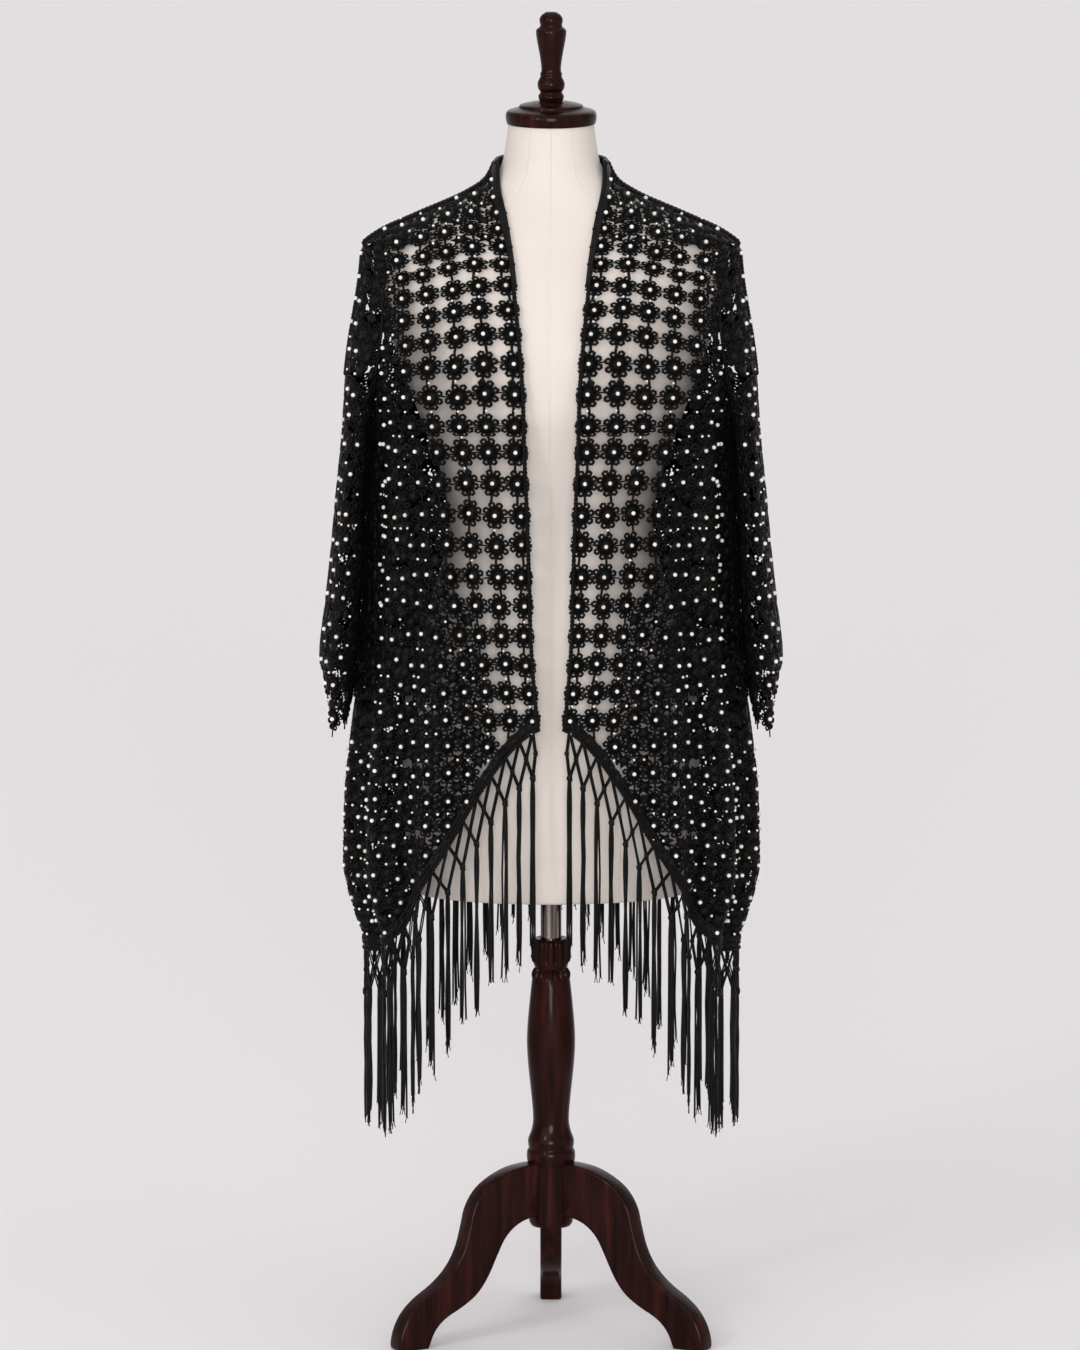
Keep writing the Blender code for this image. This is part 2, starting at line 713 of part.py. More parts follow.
class Curtain:
    """The hanging surface under a stretch of hem, laid out as column place along and drop down."""

    def __init__(self, quarters):
        self.quarters = quarters
        self.columns = HEM_COLUMNS * len(quarters)
        self.outer, self.inner, self.faces = [], [], []

    def locate(self, place):
        """Quarter and place across it for a column place, counted from the right of the stretch."""
        if len(self.quarters) == 1:
            return self.quarters[0], min(max(place / HEM_COLUMNS, 0.0), 1.0)
        quarter = self.quarters[0] if place < HEM_COLUMNS else self.quarters[1]
        return quarter, min(abs(place - HEM_COLUMNS) / HEM_COLUMNS, 1.0)

    def vertex(self, place, drop, level_place=None):
        """Adds a point at a drop under the hem's height there, or under that of another place."""
        quarter, across = self.locate(place)
        height = quarter.hem_height(across)
        edge = height + STRIP_HEIGHT + CLEAR_OF_STRIP
        point = quarter.point(across, edge)
        normal = quarter.level_out(across, edge)
        if across > 1 - NUMERIC_STEP:
            point.y = -SEAM / 2 if quarter.face == FRONT else SEAM / 2
            normal = Vector((math.copysign(1.0, point.x), 0.0, 0.0))
        if level_place is not None:
            level_quarter, level_across = self.locate(level_place)
            height = level_quarter.hem_height(level_across)
        point.z = height - drop
        self.outer.append(point)
        self.inner.append(point - normal * WALL)
        return len(self.outer) - 1

    def width(self, column):
        """Width of one column of cloth along the hem."""
        ends = []
        for place in (column, column + 1):
            quarter, across = self.locate(place)
            ends.append(quarter.point(across, quarter.hem_height(across)))
        level = Vector((ends[1].x - ends[0].x, ends[1].y - ends[0].y, 0.0))
        return level.length

    def upper_knot(self, place, column):
        """Four corners of a knot of the first row, where four bars of the net meet."""
        across, down = FIRST_KNOT_SIZE
        share = across / self.width(min(max(column, 0), self.columns - 1))
        top = self.vertex(place, FIRST_KNOT_DROP - down)
        right = self.vertex(place + share, FIRST_KNOT_DROP, place)
        bottom = self.vertex(place, FIRST_KNOT_DROP + down)
        left = self.vertex(place - share, FIRST_KNOT_DROP, place)
        self.faces.append((top, right, bottom, left))
        return top, right, bottom, left

    def lower_knot(self, column):
        """A knot of the second row with its tassel; returns its top and two shoulders."""
        middle = column + 0.5
        width = self.width(column)
        drop = SECOND_KNOT_DROP
        shoulder = SECOND_KNOT_HALF_WIDTH / width
        top = self.vertex(middle, drop - SECOND_KNOT_TOP)
        right = self.vertex(middle + shoulder, drop - SECOND_KNOT_SHOULDER, middle)
        left = self.vertex(middle - shoulder, drop - SECOND_KNOT_SHOULDER, middle)
        pitch = STRAND_WIDTH + STRAND_GAP
        roots = []
        for strand in range(STRANDS):
            centre = (strand - (STRANDS - 1) / 2) * pitch
            for offset in (centre - STRAND_WIDTH / 2, centre + STRAND_WIDTH / 2):
                roots.append(self.vertex(middle + offset / width, drop + SECOND_KNOT_TOP, middle))
            tip_drop = self.tassel_length(middle) + self.jitter(column, strand)
            ends = [
                self.vertex(middle + (centre + half) / width, tip_drop, middle)
                for half in (-STRAND_WIDTH / 2, STRAND_WIDTH / 2)
            ]
            self.faces.append((roots[-2], roots[-1], ends[1], ends[0]))
        self.faces.append((top, right, *reversed(roots), left))
        return top, right, left

    def tassel_length(self, place):
        across = self.locate(place)[1]
        return TASSEL_LENGTH_FRONT + (TASSEL_LENGTH_SIDE - TASSEL_LENGTH_FRONT) * across

    def jitter(self, column, strand):
        """Uneven ends: a fixed, irregular difference for each strand."""
        return STRAND_JITTER * math.sin(7.3 * column + 2.9 * strand + 1.3 * len(self.quarters))

    def build(self):
        """Strip, net, knots and tassels as one wall."""
        seams = [END_INSET] + list(range(1, self.columns)) + [self.columns - END_INSET]
        knots = [self.upper_knot(place, min(index, self.columns - 1)) for index, place in enumerate(seams)]
        strip_tops = [self.vertex(place, -STRIP_HEIGHT) for place in range(self.columns + 1)]
        strip_ends = [self.vertex(place, 0.0) for place in range(self.columns + 1)]
        for column in range(self.columns):
            middle = column + 0.5
            share = BAR_WIDTH / self.width(column)
            roots = [self.vertex(middle + shift * share, 0.0, middle) for shift in (-1, 0, 1)]
            tops = (strip_tops[column], strip_tops[column + 1])
            self.faces.append((*tops, strip_ends[column + 1], *reversed(roots), strip_ends[column]))
            left_knot, right_knot = knots[column], knots[column + 1]
            self.faces.append((roots[0], roots[1], left_knot[1], left_knot[0]))
            self.faces.append((roots[1], roots[2], right_knot[0], right_knot[3]))
            top, right, left = self.lower_knot(column)
            self.faces.append((left_knot[1], top, left, left_knot[2]))
            self.faces.append((right_knot[3], right_knot[2], right, top))
        return thick_wall(self.outer, self.inner, self.faces)


def loft(rings):
    """A closed body through rings of equal counts, capped at the first and the last."""
    shape = bmesh.new()
    loops = [[shape.verts.new(point) for point in ring] for ring in rings]
    for upper, lower in zip(loops, loops[1:]):
        for i in range(len(upper)):
            shape.faces.new([upper[i - 1], upper[i], lower[i], lower[i - 1]])
    shape.faces.new(loops[0])
    shape.faces.new(list(reversed(loops[-1])))
    return shape


def oval_ring(height, width, front, back, sides):
    ring = []
    for side in range(sides):
        turn = 2 * math.pi * side / sides
        depth = front if math.cos(turn) > 0 else back
        ring.append(Vector((math.sin(turn) * width, -math.cos(turn) * depth, height)))
    return ring


def torso():
    rings = [oval_ring(*row, TORSO_SIDES) for row in TORSO_SECTIONS]
    bore = POLE_RADIUS + FIT
    bottom = TORSO_SECTIONS[-1][HEIGHT]
    for height in (bottom, TORSO_BORE_TOP):
        rings.append(oval_ring(height, bore, bore, bore, TORSO_SIDES))
    return loft(rings)


def turned(profile, sides=ROUND_SIDES):
    """A turned body from its profile, radius and height, from top to bottom."""
    return loft([oval_ring(height, radius, radius, radius, sides) for radius, height in profile])


def column_shape():
    bore = POLE_RADIUS + FIT
    inside = ((bore, COLUMN_BORE_BOTTOM), (bore, COLUMN_PROFILE[0][1]))
    return turned((*inside, *COLUMN_PROFILE))


def leg_shape():
    """A leg in its own plane, X outwards, sawn from a board and stood on its flat foot."""
    outline = [*LEG_UPPER_EDGE, *LEG_LOWER_EDGE]
    rings = []
    for y in (-LEG_THICKNESS / 2, LEG_THICKNESS / 2):
        rings.append([Vector((out, y, height)) for out, height in outline])
    return loft(rings)


def mortise_cutter(name, angle, parent):
    """The socket in the hub that takes a leg's inner end."""
    shape = bmesh.new()
    bmesh.ops.create_cube(shape, size=1.0)
    top = LEG_UPPER_EDGE[0][1] + FIT
    bottom = LEG_LOWER_EDGE[-1][1] - FIT
    length = MORTISE_DEPTH_END - LEG_INNER_END + FIT
    size = (length, LEG_THICKNESS + 2 * FIT, top - bottom)
    bmesh.ops.scale(shape, vec=size, verts=shape.verts)
    centre = (LEG_INNER_END - FIT + length / 2, 0.0, (top + bottom) / 2)
    bmesh.ops.translate(shape, vec=centre, verts=shape.verts)
    made = add_object(name, shape, bpy.data.materials["dark_wood"], parent, smooth=False)
    made.rotation_euler.z = math.radians(angle)
    made.hide_render = True
    made.display_type = "WIRE"
    return made


def add_stand(wood, steel, stand, form):
    column = add_object("column", column_shape(), wood, stand)
    for name, angle in LEG_ANGLES.items():
        leg = add_object(name, leg_shape(), wood, stand, smooth=False)
        leg.rotation_euler.z = math.radians(angle)
        cut = column.modifiers.new("socket_" + name, "BOOLEAN")
        cut.object = mortise_cutter("cutter_" + name, angle, stand)
        cut.operation = "DIFFERENCE"
        cut.solver = "EXACT"
    add_object("pole", turned(((POLE_RADIUS, POLE_TOP), (POLE_RADIUS, POLE_BOTTOM))), steel, form)
    add_object("neck_cap", turned(CAP_PROFILE), wood, form)
    add_object("finial", turned(FINIAL_PROFILE, FINIAL_SIDES), wood, form)


def add_shawl(cloth, form):
    fronts = {side: Quarter(FRONT, side) for side in (1, -1)}
    backs = {side: Quarter(BACK, side) for side in (1, -1)}
    add_object("back", panel(back_columns(backs[1], backs[-1])), cloth, form)
    for side, word in ((1, "left"), (-1, "right")):
        add_object("front_" + word, panel(front_columns(fronts[side])), cloth, form)
        add_object("sleeve_" + word, sleeve(side), cloth, form)
        add_object("fringe_" + word, Curtain([fronts[side]]).build(), cloth, form)
    add_object("fringe_back", Curtain([backs[1], backs[-1]]).build(), cloth, form)
    add_object("front_band", band(fronts, backs), cloth, form)


def main():
    clear_scene()
    cloth = material("black_lace", (0.012, 0.012, 0.013), 0.75)
    jersey = material("cream_jersey", (0.83, 0.79, 0.75), 0.85)
    wood = material("dark_wood", (0.055, 0.020, 0.018), 0.25)
    steel = material("steel", (0.55, 0.53, 0.50), 0.25, metallic=1.0)
    stand = empty_on_axis("stand")
    form = empty_on_axis("sliding_form")
    add_object("torso", torso(), jersey, form)
    add_stand(wood, steel, stand, form)
    add_shawl(cloth, form)


main()
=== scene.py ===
import math

import bmesh
import bpy
import numpy as np
from mathutils import Matrix, Vector


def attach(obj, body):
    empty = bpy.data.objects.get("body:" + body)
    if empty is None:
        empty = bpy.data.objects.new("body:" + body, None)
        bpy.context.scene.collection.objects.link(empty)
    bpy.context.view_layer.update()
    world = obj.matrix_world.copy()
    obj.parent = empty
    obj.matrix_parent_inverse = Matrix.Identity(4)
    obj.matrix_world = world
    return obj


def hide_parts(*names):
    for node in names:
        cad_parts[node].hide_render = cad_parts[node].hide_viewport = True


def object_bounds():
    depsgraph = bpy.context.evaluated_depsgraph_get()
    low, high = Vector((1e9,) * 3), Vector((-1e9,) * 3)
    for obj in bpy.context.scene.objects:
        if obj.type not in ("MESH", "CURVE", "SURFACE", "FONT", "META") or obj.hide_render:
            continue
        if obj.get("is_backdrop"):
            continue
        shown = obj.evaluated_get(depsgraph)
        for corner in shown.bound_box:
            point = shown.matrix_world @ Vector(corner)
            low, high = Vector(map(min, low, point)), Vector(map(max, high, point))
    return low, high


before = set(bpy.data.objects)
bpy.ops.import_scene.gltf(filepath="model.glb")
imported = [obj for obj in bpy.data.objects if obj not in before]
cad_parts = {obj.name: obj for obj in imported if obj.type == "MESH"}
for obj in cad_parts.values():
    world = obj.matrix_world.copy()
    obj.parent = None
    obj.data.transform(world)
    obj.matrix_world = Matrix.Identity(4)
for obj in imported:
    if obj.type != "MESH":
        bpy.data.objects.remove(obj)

cad_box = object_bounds()

# The column's axis lies behind the cloth's front, so that the whole object is centred on the origin
AXIS_Y = -0.0337

# Cloth
WALL = 0.002
SEAM = 0.0003
HEM_COLUMNS = 18
TOP_ROW = 1.368
CLEAR_OF_STRIP = 0.0004
STRIP_HEIGHT = 0.014

# Cloth sections, outer side: height, half width, depth in front of the axis, depth behind it
HEIGHT, HALF_WIDTH, FRONT, BACK = 0, 1, 2, 3
CLOTH_SECTIONS = (
    (1.370, 0.0620, 0.0600, 0.0640), (1.345, 0.0745, 0.0650, 0.0730),
    (1.329, 0.0980, 0.0710, 0.0810), (1.306, 0.1500, 0.0830, 0.0910),
    (1.283, 0.1990, 0.0940, 0.0990), (1.268, 0.2155, 0.1000, 0.1030),
    (1.250, 0.2145, 0.1080, 0.1080), (1.220, 0.2135, 0.1170, 0.1110),
    (1.180, 0.2135, 0.1260, 0.1120), (1.140, 0.2125, 0.1330, 0.1120),
    (1.100, 0.2120, 0.1345, 0.1120), (1.050, 0.2080, 0.1345, 0.1125),
    (0.950, 0.2100, 0.1345, 0.1140), (0.850, 0.2150, 0.1360, 0.1175),
    (0.790, 0.2200, 0.1370, 0.1205), (0.700, 0.2290, 0.1390, 0.1255),
    (0.620, 0.2350, 0.1400, 0.1270), (0.560, 0.2360, 0.1400, 0.1270),
    (0.500, 0.2230, 0.1400, 0.1270), (0.455, 0.2040, 0.1390, 0.1260),
)

# The sections are ellipses at the neck and fuller ovals below the bust
NECK_ROUNDNESS = 2.0
BODY_ROUNDNESS = 2.4
ROUND_ABOVE = 1.30
FULL_BELOW = 1.10

# Front opening: height, distance of the edge from the middle
OPENING = (
    (1.370, 0.0600), (1.353, 0.0595), (1.306, 0.0490), (1.283, 0.0450), (1.260, 0.0415),
    (1.213, 0.0365), (1.166, 0.0320), (1.108, 0.0280), (1.050, 0.0265), (0.980, 0.0236),
    (0.900, 0.0210), (0.840, 0.0195), (0.793, 0.0167), (0.746, 0.0130), (0.729, 0.0125),
)

# Hem arch: height at the side seams, and how much higher it is at the middle
HEM_SIDE = 0.458
HEM_RISE = 0.275

# Armhole, an oval on the side of the cloth
ARMHOLE_HEIGHT = 1.166
ARMHOLE_HALF_HEIGHT = 0.102
ARMHOLE_HALF_DEPTH = 0.066

# Folds over a quarter of the shawl, from the plain inner part (0) to the side seam (1):
# place, swing above the cuffs, swing below them; 1 is a full ridge and -1 a full trough
PLACE, SWING_HIGH, SWING_LOW = 0, 1, 2
FRONT_FOLDS = (
    (0.00, 0.00, 0.00), (0.22, 0.00, 0.00), (0.33, -0.80, -0.80), (0.44, 0.70, 0.80),
    (0.56, -1.00, -1.10), (0.67, 0.80, 1.00), (0.78, -1.00, -1.10), (0.89, 0.15, 0.70),
    (1.00, 0.00, 0.00),
)
BACK_FOLDS = (
    (0.00, 0.25, 0.35), (0.17, -0.20, -0.30), (0.33, 0.55, 0.80), (0.47, -0.60, -0.90),
    (0.61, 0.60, 0.90), (0.75, -0.80, -1.00), (0.89, 0.10, 0.60), (1.00, 0.00, 0.00),
)
FOLD_DEPTH = 0.0095
FOLDS_START = 1.22
FOLDS_FULL = 0.85
CUFF_ZONE_TOP = 0.82
CUFF_ZONE_BOTTOM = 0.64
RIGHT_SIDE_SHARE = 0.82

# Sleeve: height where its lower edge hangs, for the outer line, the front or back, and the inner line
CUFF_OUTER = 0.793
CUFF_MIDDLE = 0.702
CUFF_INNER = 0.742
SLEEVE_OPENS_BY = 0.35
SLEEVE_LIFT = 0.0006
BESIDE_BODY = 0.0028
# Sleeve sections: height, distance of the outer line from the middle, half depth front to back
OUTER_LINE, HALF_DEPTH = 1, 2
SLEEVE_SECTIONS = (
    (1.271, 0.2175, 0.0500), (1.236, 0.2230, 0.0570), (1.155, 0.2330, 0.0670),
    (1.050, 0.2400, 0.0790), (0.980, 0.2470, 0.0840), (0.910, 0.2535, 0.0875),
    (0.860, 0.2590, 0.0900), (0.793, 0.2660, 0.0930), (0.700, 0.2620, 0.0930),
)

# Knotted net and tassels, measured down from the hem
FIRST_KNOT_DROP = 0.025
SECOND_KNOT_DROP = 0.052
TASSEL_LENGTH_FRONT = 0.258
TASSEL_LENGTH_SIDE = 0.190
END_INSET = 0.30

# Torso sections: height, half width, depth in front of the axis, depth behind it
TORSO_SECTIONS = (
    (1.4084, 0.0500, 0.0500, 0.0500), (1.3850, 0.0530, 0.0520, 0.0530),
    (1.3600, 0.0580, 0.0550, 0.0590), (1.3450, 0.0700, 0.0590, 0.0670),
    (1.3300, 0.0880, 0.0640, 0.0740), (1.3100, 0.1345, 0.0755, 0.0855),
    (1.2900, 0.1740, 0.0860, 0.0940), (1.2700, 0.1960, 0.0940, 0.0990),
    (1.2500, 0.2040, 0.1020, 0.1030), (1.2200, 0.2020, 0.1110, 0.1050),
    (1.1800, 0.1890, 0.1190, 0.1060), (1.1400, 0.1760, 0.1250, 0.1030),
    (1.1000, 0.1620, 0.1230, 0.0980), (1.0400, 0.1400, 0.1060, 0.0900),
    (0.9800, 0.1220, 0.0920, 0.0840), (0.9500, 0.1190, 0.0880, 0.0830),
    (0.9000, 0.1270, 0.0920, 0.0900), (0.8400, 0.1480, 0.1000, 0.1040),
    (0.7800, 0.1630, 0.1050, 0.1130), (0.7200, 0.1710, 0.1070, 0.1160),
    (0.6400, 0.1720, 0.1050, 0.1120), (0.5600, 0.1670, 0.1010, 0.1050),
    (0.5200, 0.1640, 0.0985, 0.1012),
)

# Stand
POLE_PROFILE = ((0.012, 0.5797), (0.012, 0.190))
FINIAL_PROFILE = (
    (0.0060, 1.5362), (0.0118, 1.5325), (0.0139, 1.5270), (0.0117, 1.5200), (0.0165, 1.5170),
    (0.0177, 1.5140), (0.0160, 1.5020), (0.0128, 1.4860), (0.0107, 1.4695), (0.0128, 1.4655),
    (0.0120, 1.4625), (0.0150, 1.4575), (0.0158, 1.4530), (0.0148, 1.4480), (0.0118, 1.4445),
    (0.0147, 1.4410), (0.0147, 1.4380), (0.0130, 1.4346),
)
CAP_PROFILE = (
    (0.0165, 1.4342), (0.0240, 1.4330), (0.0330, 1.4310), (0.0365, 1.4295), (0.0365, 1.4275),
    (0.0390, 1.4262), (0.0470, 1.4246), (0.0510, 1.4225), (0.0520, 1.4180), (0.0518, 1.4130),
    (0.0505, 1.4088),
)
COLUMN_PROFILE = (
    (0.0185, 0.4640), (0.0205, 0.4610), (0.0212, 0.4490), (0.0205, 0.4350), (0.0180, 0.4280),
    (0.0196, 0.4260), (0.0214, 0.4220), (0.0247, 0.3908), (0.0275, 0.3600), (0.0281, 0.3373),
    (0.0261, 0.3105), (0.0231, 0.2837), (0.0201, 0.2516), (0.0224, 0.2380), (0.0269, 0.2275),
    (0.0264, 0.2210), (0.0253, 0.2170), (0.0280, 0.2140), (0.0280, 0.2035), (0.0262, 0.1990),
    (0.0256, 0.1960), (0.0256, 0.1360), (0.0254, 0.1300), (0.0224, 0.1260),
)

# Leg outline in its own plane: distance from the axis, height
LEG_THICKNESS = 0.025
LEG_ANGLES = {"leg_back": 90, "leg_left": -30, "leg_right": -150}
LEG_UPPER_EDGE = (
    (0.0200, 0.2020), (0.0313, 0.2020), (0.0544, 0.1995), (0.0774, 0.1904), (0.0975, 0.1770),
    (0.1105, 0.1568), (0.1147, 0.1370), (0.1220, 0.1098), (0.1349, 0.0880), (0.1536, 0.0709),
    (0.1780, 0.0568), (0.1953, 0.0409), (0.2054, 0.0214), (0.2083, 0.0027), (0.2044, 0.0000),
)
LEG_LOWER_EDGE = (
    (0.1694, 0.0000), (0.1680, 0.0011), (0.1608, 0.0195), (0.1465, 0.0333), (0.1235, 0.0437),
    (0.1033, 0.0568), (0.0890, 0.0760), (0.0774, 0.1000), (0.0659, 0.1217), (0.0486, 0.1353),
    (0.0284, 0.1404), (0.0200, 0.1404),
)

# Carving round the collar: count, depth, from and to a height
COLLAR_CARVING = ((12, 0.0019, 0.4370, 0.4620), (18, 0.0016, 0.4205, 0.4285))
LEG_ROUNDING = 0.0030
WOOD_SHARP_FROM = 40

# Look of the form: its seams are grooves at these turns, and one round the neck
FORM_INSET = 0.0012
HALF_SEAMS = (0.0, 0.50, math.pi / 2, 2.60, math.pi)
FORM_SEAMS = (*HALF_SEAMS, 2 * math.pi - 2.60, 1.5 * math.pi, 2 * math.pi - 0.50)
FORM_SIDES = 96
GROOVE_HALF_WIDTH = 0.006
GROOVE_DEPTH = 0.0005
NECK_SEAM = 1.310
NECK_SEAM_DEPTH = 0.0004
NECK_SEAM_HALF_WIDTH = 0.0012
FORM_SHARP_FROM = 50

# Cut pieces laid flat, width and length
SLEEVE_FULLNESS = 1.35
BODY_FULLNESS = 1.12

# Camera and stage
CAMERA_DISTANCE = 14.0
CAMERA_ELEVATION = 9.5
CAMERA_LENS = 325.0
CAMERA_AIM_X = -0.0127
CAMERA_AIM_Z = 0.771
FLOOR_REACH = 60.0
WORLD_COLOUR = (0.95, 0.95, 0.96, 1.0)
WORLD_STRENGTH = 0.49
LIGHTS_AIM = (0.0, AXIS_Y, 0.9)
# Distant lights: name, place, angle across, strength, colour
SUNS = (
    ("key", (-2.2, -3.4, 3.0), 50.0, 0.68, (1.0, 0.985, 0.97)),
    ("fill", (3.4, -2.4, 2.2), 60.0, 0.30, (0.97, 0.98, 1.0)),
    ("front", (0.0, AXIS_Y - 5.92, 1.89), 22.0, 1.70, (1.0, 0.99, 0.98)),
    ("top", (0.0, AXIS_Y, 6.0), 80.0, 0.70, (1.0, 1.0, 1.0)),
    ("back", (0.8, 3.4, 2.2), 60.0, 0.55, (1.0, 1.0, 1.0)),
)
WINDOW_PLACE = (-1.9, -2.9, 2.3)
WINDOW_SIZE = 0.35
WINDOW_POWER = 16.0

# Tables of cloth points
TABLE_STEP = 0.004
TABLE_PLACES = 161
SLEEVE_TOP = 1.266
HEM_BOTTOM = 0.455

# Lace: one flower with its links fills a cell, drawn at this size
CELL_WIDTH = 0.0280
CELL_HEIGHT = 0.0348
# Height, distance between rows of flowers down the cloth
ROW_SPACING = (
    (1.370, 0.0265), (1.220, 0.0276), (1.175, 0.0310), (1.140, 0.0365), (1.060, 0.0370),
    (1.030, 0.0355), (0.880, 0.0350), (0.800, 0.0320), (0.450, 0.0300),
)
# Height, distance between columns of flowers
COLUMN_SPACING = (
    (1.370, 0.0315), (1.200, 0.0320), (1.120, 0.0335), (1.050, 0.0312), (0.920, 0.0290),
    (0.800, 0.0252), (0.450, 0.0240),
)
SLEEVE_COLUMN_SPACING = ((1.370, 0.0205), (0.450, 0.0205))
# Height, drop of a row for each metre away from the opening
ROW_DROOP = (
    (1.370, 0.24), (1.200, 0.20), (1.060, 0.04), (0.450, 0.02),
)
FIRST_COLUMN = 0.40
# Columns of even width from the start line, and columns in all
FRONT_COLUMNS = (5, 13)
BACK_COLUMNS = (5, 11)
SLEEVE_COLUMNS = (0, 9)
# How far above the lower edge the middles of the lowest flowers stay
HEM_MARGIN = 0.010
CUFF_MARGIN = 0.004
ROW_ANCHOR = 1.260
DROOP_FROM = 0.05
EVEN_TO_SIDE_FROM = 1.13
CROWDED_BELOW = 0.80
CROWDED_SIDES_FROM = 1.07
CROWDED_ABOVE = 1.275
EVEN_TO_SIDE_BELOW = 1.05

# Flower, in its cell: eight looped petals, a middle, two links
PETALS = 8
LOOP_OUT = (0.0104, 0.0121)
LOOP_RADIUS = 0.0028
LOOP_HALF_WIDTH = 0.0017
LOOP_SEGMENTS = 6
THREAD_HALF_THICKNESS = 0.0013
MIDDLE_RADII = (0.0096, 0.0112)
MIDDLE_HALF_THICKNESS = 0.0017
PAD_CORNERS = 12
LINK_FROM = (0.0100, 0.0110)
LINK_HALF_WIDTHS = (0.0009, 0.0014)
SEAM_GIVE = 0.006
LAPPED_TO = 0.004
FILLER_RADII = (0.0064, 0.0114)
FLOWER_TURN = 0.13
# How far flowers stray across and down, in cells: in the even lace, and more where they crowd
STRAYING = ((0.05, 0.11), (0.04, 0.15))
# How far a flower's middle may lie past a seam, and how near to it pearls are sewn, in cell widths
FLOWER_PAST_SEAM = 0.35
PEARL_FROM_SEAM = 0.10

PEARL_RADIUS = 0.0025
SMALL_PEARL_RADIUS = 0.0018
PEARL_SEAT = 0.35
SMALL_PEARL_SEAT = 0.6
LINK_BEAD_RADIUS = 0.0016
# Small pearls and link beads are sewn where an irregular number from -1 to 1 is above these
SMALL_PEARLS_FROM = 0.1
LINK_BEADS_FROM = 0.35

# Body cloth behind a sleeve, which carries no pearls: distance out from the middle, depth, bottom
BEHIND_SLEEVE = (0.196, 0.080, 0.70)

# Seams, edges and cords
SEAM_CORD_RADIUS = 0.0011
SHOULDER_CORD_RADIUS = 0.0020
SLEEVE_HEAD_CORD_RADIUS = 0.0018
UNDERARM_LIFT = 0.0024
EDGE_CORD_RADIUS = 0.0016
EDGE_TURN = 0.010
ROPE_STEPS = 5
KNOB_RADIUS = 0.0026
NECK_BAND_WIDTHS = ((1.370, 0.015), (1.330, 0.013), (1.285, 0.0075), (1.230, 0.005))
STRIP_LUMPS = 0.0042
HEM_CORD_RADIUS = 0.0014
HEM_CORD_TURN = 0.0085
HEM_KNOT_PITCH = 0.40
CORD_RADIUS = 0.0012
NET_CORD_RADIUS = 0.0011
CORDS = 4
CORD_PITCH = 0.0014
HAIR_RADIUS = 0.0006
FIRST_KNOT_SIZE = (0.0030, 0.0038)
SECOND_KNOT_SIZE = (0.0036, 0.0055)
CORD_SWAY = 0.0016
END_UNEVENNESS = 0.009


def table_value(rows, height, column):
    """A table's column at heights, on a smooth curve that doesn't overshoot the rows."""
    table = np.array(rows)[::-1]
    levels, values = table[:, HEIGHT], table[:, column]
    secants = np.diff(values) / np.diff(levels)
    below, above = secants[:-1], secants[1:]
    both = np.where(below * above > 0, below + above, 1.0)
    middle = np.where(below * above > 0, 2 * below * above / both, 0.0)
    slopes = np.concatenate(([secants[0]], middle, [secants[-1]]))
    height = np.clip(height, levels[0], levels[-1])
    index = np.clip(np.searchsorted(levels, height) - 1, 0, len(levels) - 2)
    span = levels[index + 1] - levels[index]
    share = (height - levels[index]) / span
    square, cube = share**2, share**3
    return (
        values[index] * (2 * cube - 3 * square + 1)
        + slopes[index] * span * (cube - 2 * square + share)
        + values[index + 1] * (3 * square - 2 * cube)
        + slopes[index + 1] * span * (cube - square)
    )


def ease(value, start, end):
    """0 at start and 1 at end, level at both."""
    share = np.clip((value - start) / (end - start), 0.0, 1.0)
    return share * share * (3 - 2 * share)


def roundness(height):
    full = ease(height, ROUND_ABOVE, FULL_BELOW)
    return NECK_ROUNDNESS + (BODY_ROUNDNESS - NECK_ROUNDNESS) * full


def signed_power(value, power):
    return np.sign(value) * np.abs(value) ** power


def unit(vectors):
    return vectors / np.maximum(np.linalg.norm(vectors, axis=-1, keepdims=True), 1e-12)


def section_depth(sections, height, in_front):
    """Depth of a section, in front of the axis or behind it."""
    return np.where(in_front, table_value(sections, height, FRONT), table_value(sections, height, BACK))


def section_point(turn, height):
    """Point of the unfolded cloth; the turn is 0 at the front and a right angle at the left side."""
    power = 2.0 / roundness(height)
    depth = section_depth(CLOTH_SECTIONS, height, np.cos(turn) > 0)
    x = signed_power(np.sin(turn), power) * table_value(CLOTH_SECTIONS, height, HALF_WIDTH)
    y = -signed_power(np.cos(turn), power) * depth
    return np.stack((x, y, height + 0 * turn), axis=-1)


def level_outward(point):
    """Level direction straight out of the unfolded cloth at its points."""
    height = point[..., 2]
    width = table_value(CLOTH_SECTIONS, height, HALF_WIDTH)
    depth = section_depth(CLOTH_SECTIONS, height, point[..., 1] < 0)
    power = roundness(height) - 1
    x = signed_power(point[..., 0] / width, power) / width
    y = signed_power(point[..., 1] / depth, power) / depth
    return unit(np.stack((x, y, 0 * x), axis=-1))


def opening_turn(height):
    """Turn of the front opening's edge."""
    ratio = table_value(OPENING, height, 1) / table_value(CLOTH_SECTIONS, height, HALF_WIDTH)
    return np.arcsin(np.minimum(ratio, 1.0) ** (roundness(height) / 2))


def side_turn(height, face):
    """Turn from the middle of the front or back to the side seam, or to the armhole's edge."""
    rise = np.clip((height - ARMHOLE_HEIGHT) / ARMHOLE_HALF_HEIGHT, -1.0, 1.0)
    edge = ARMHOLE_HALF_DEPTH * np.sqrt(1 - rise**2)
    depth = table_value(CLOTH_SECTIONS, height, face)
    return np.arccos((edge / depth) ** (roundness(height) / 2))


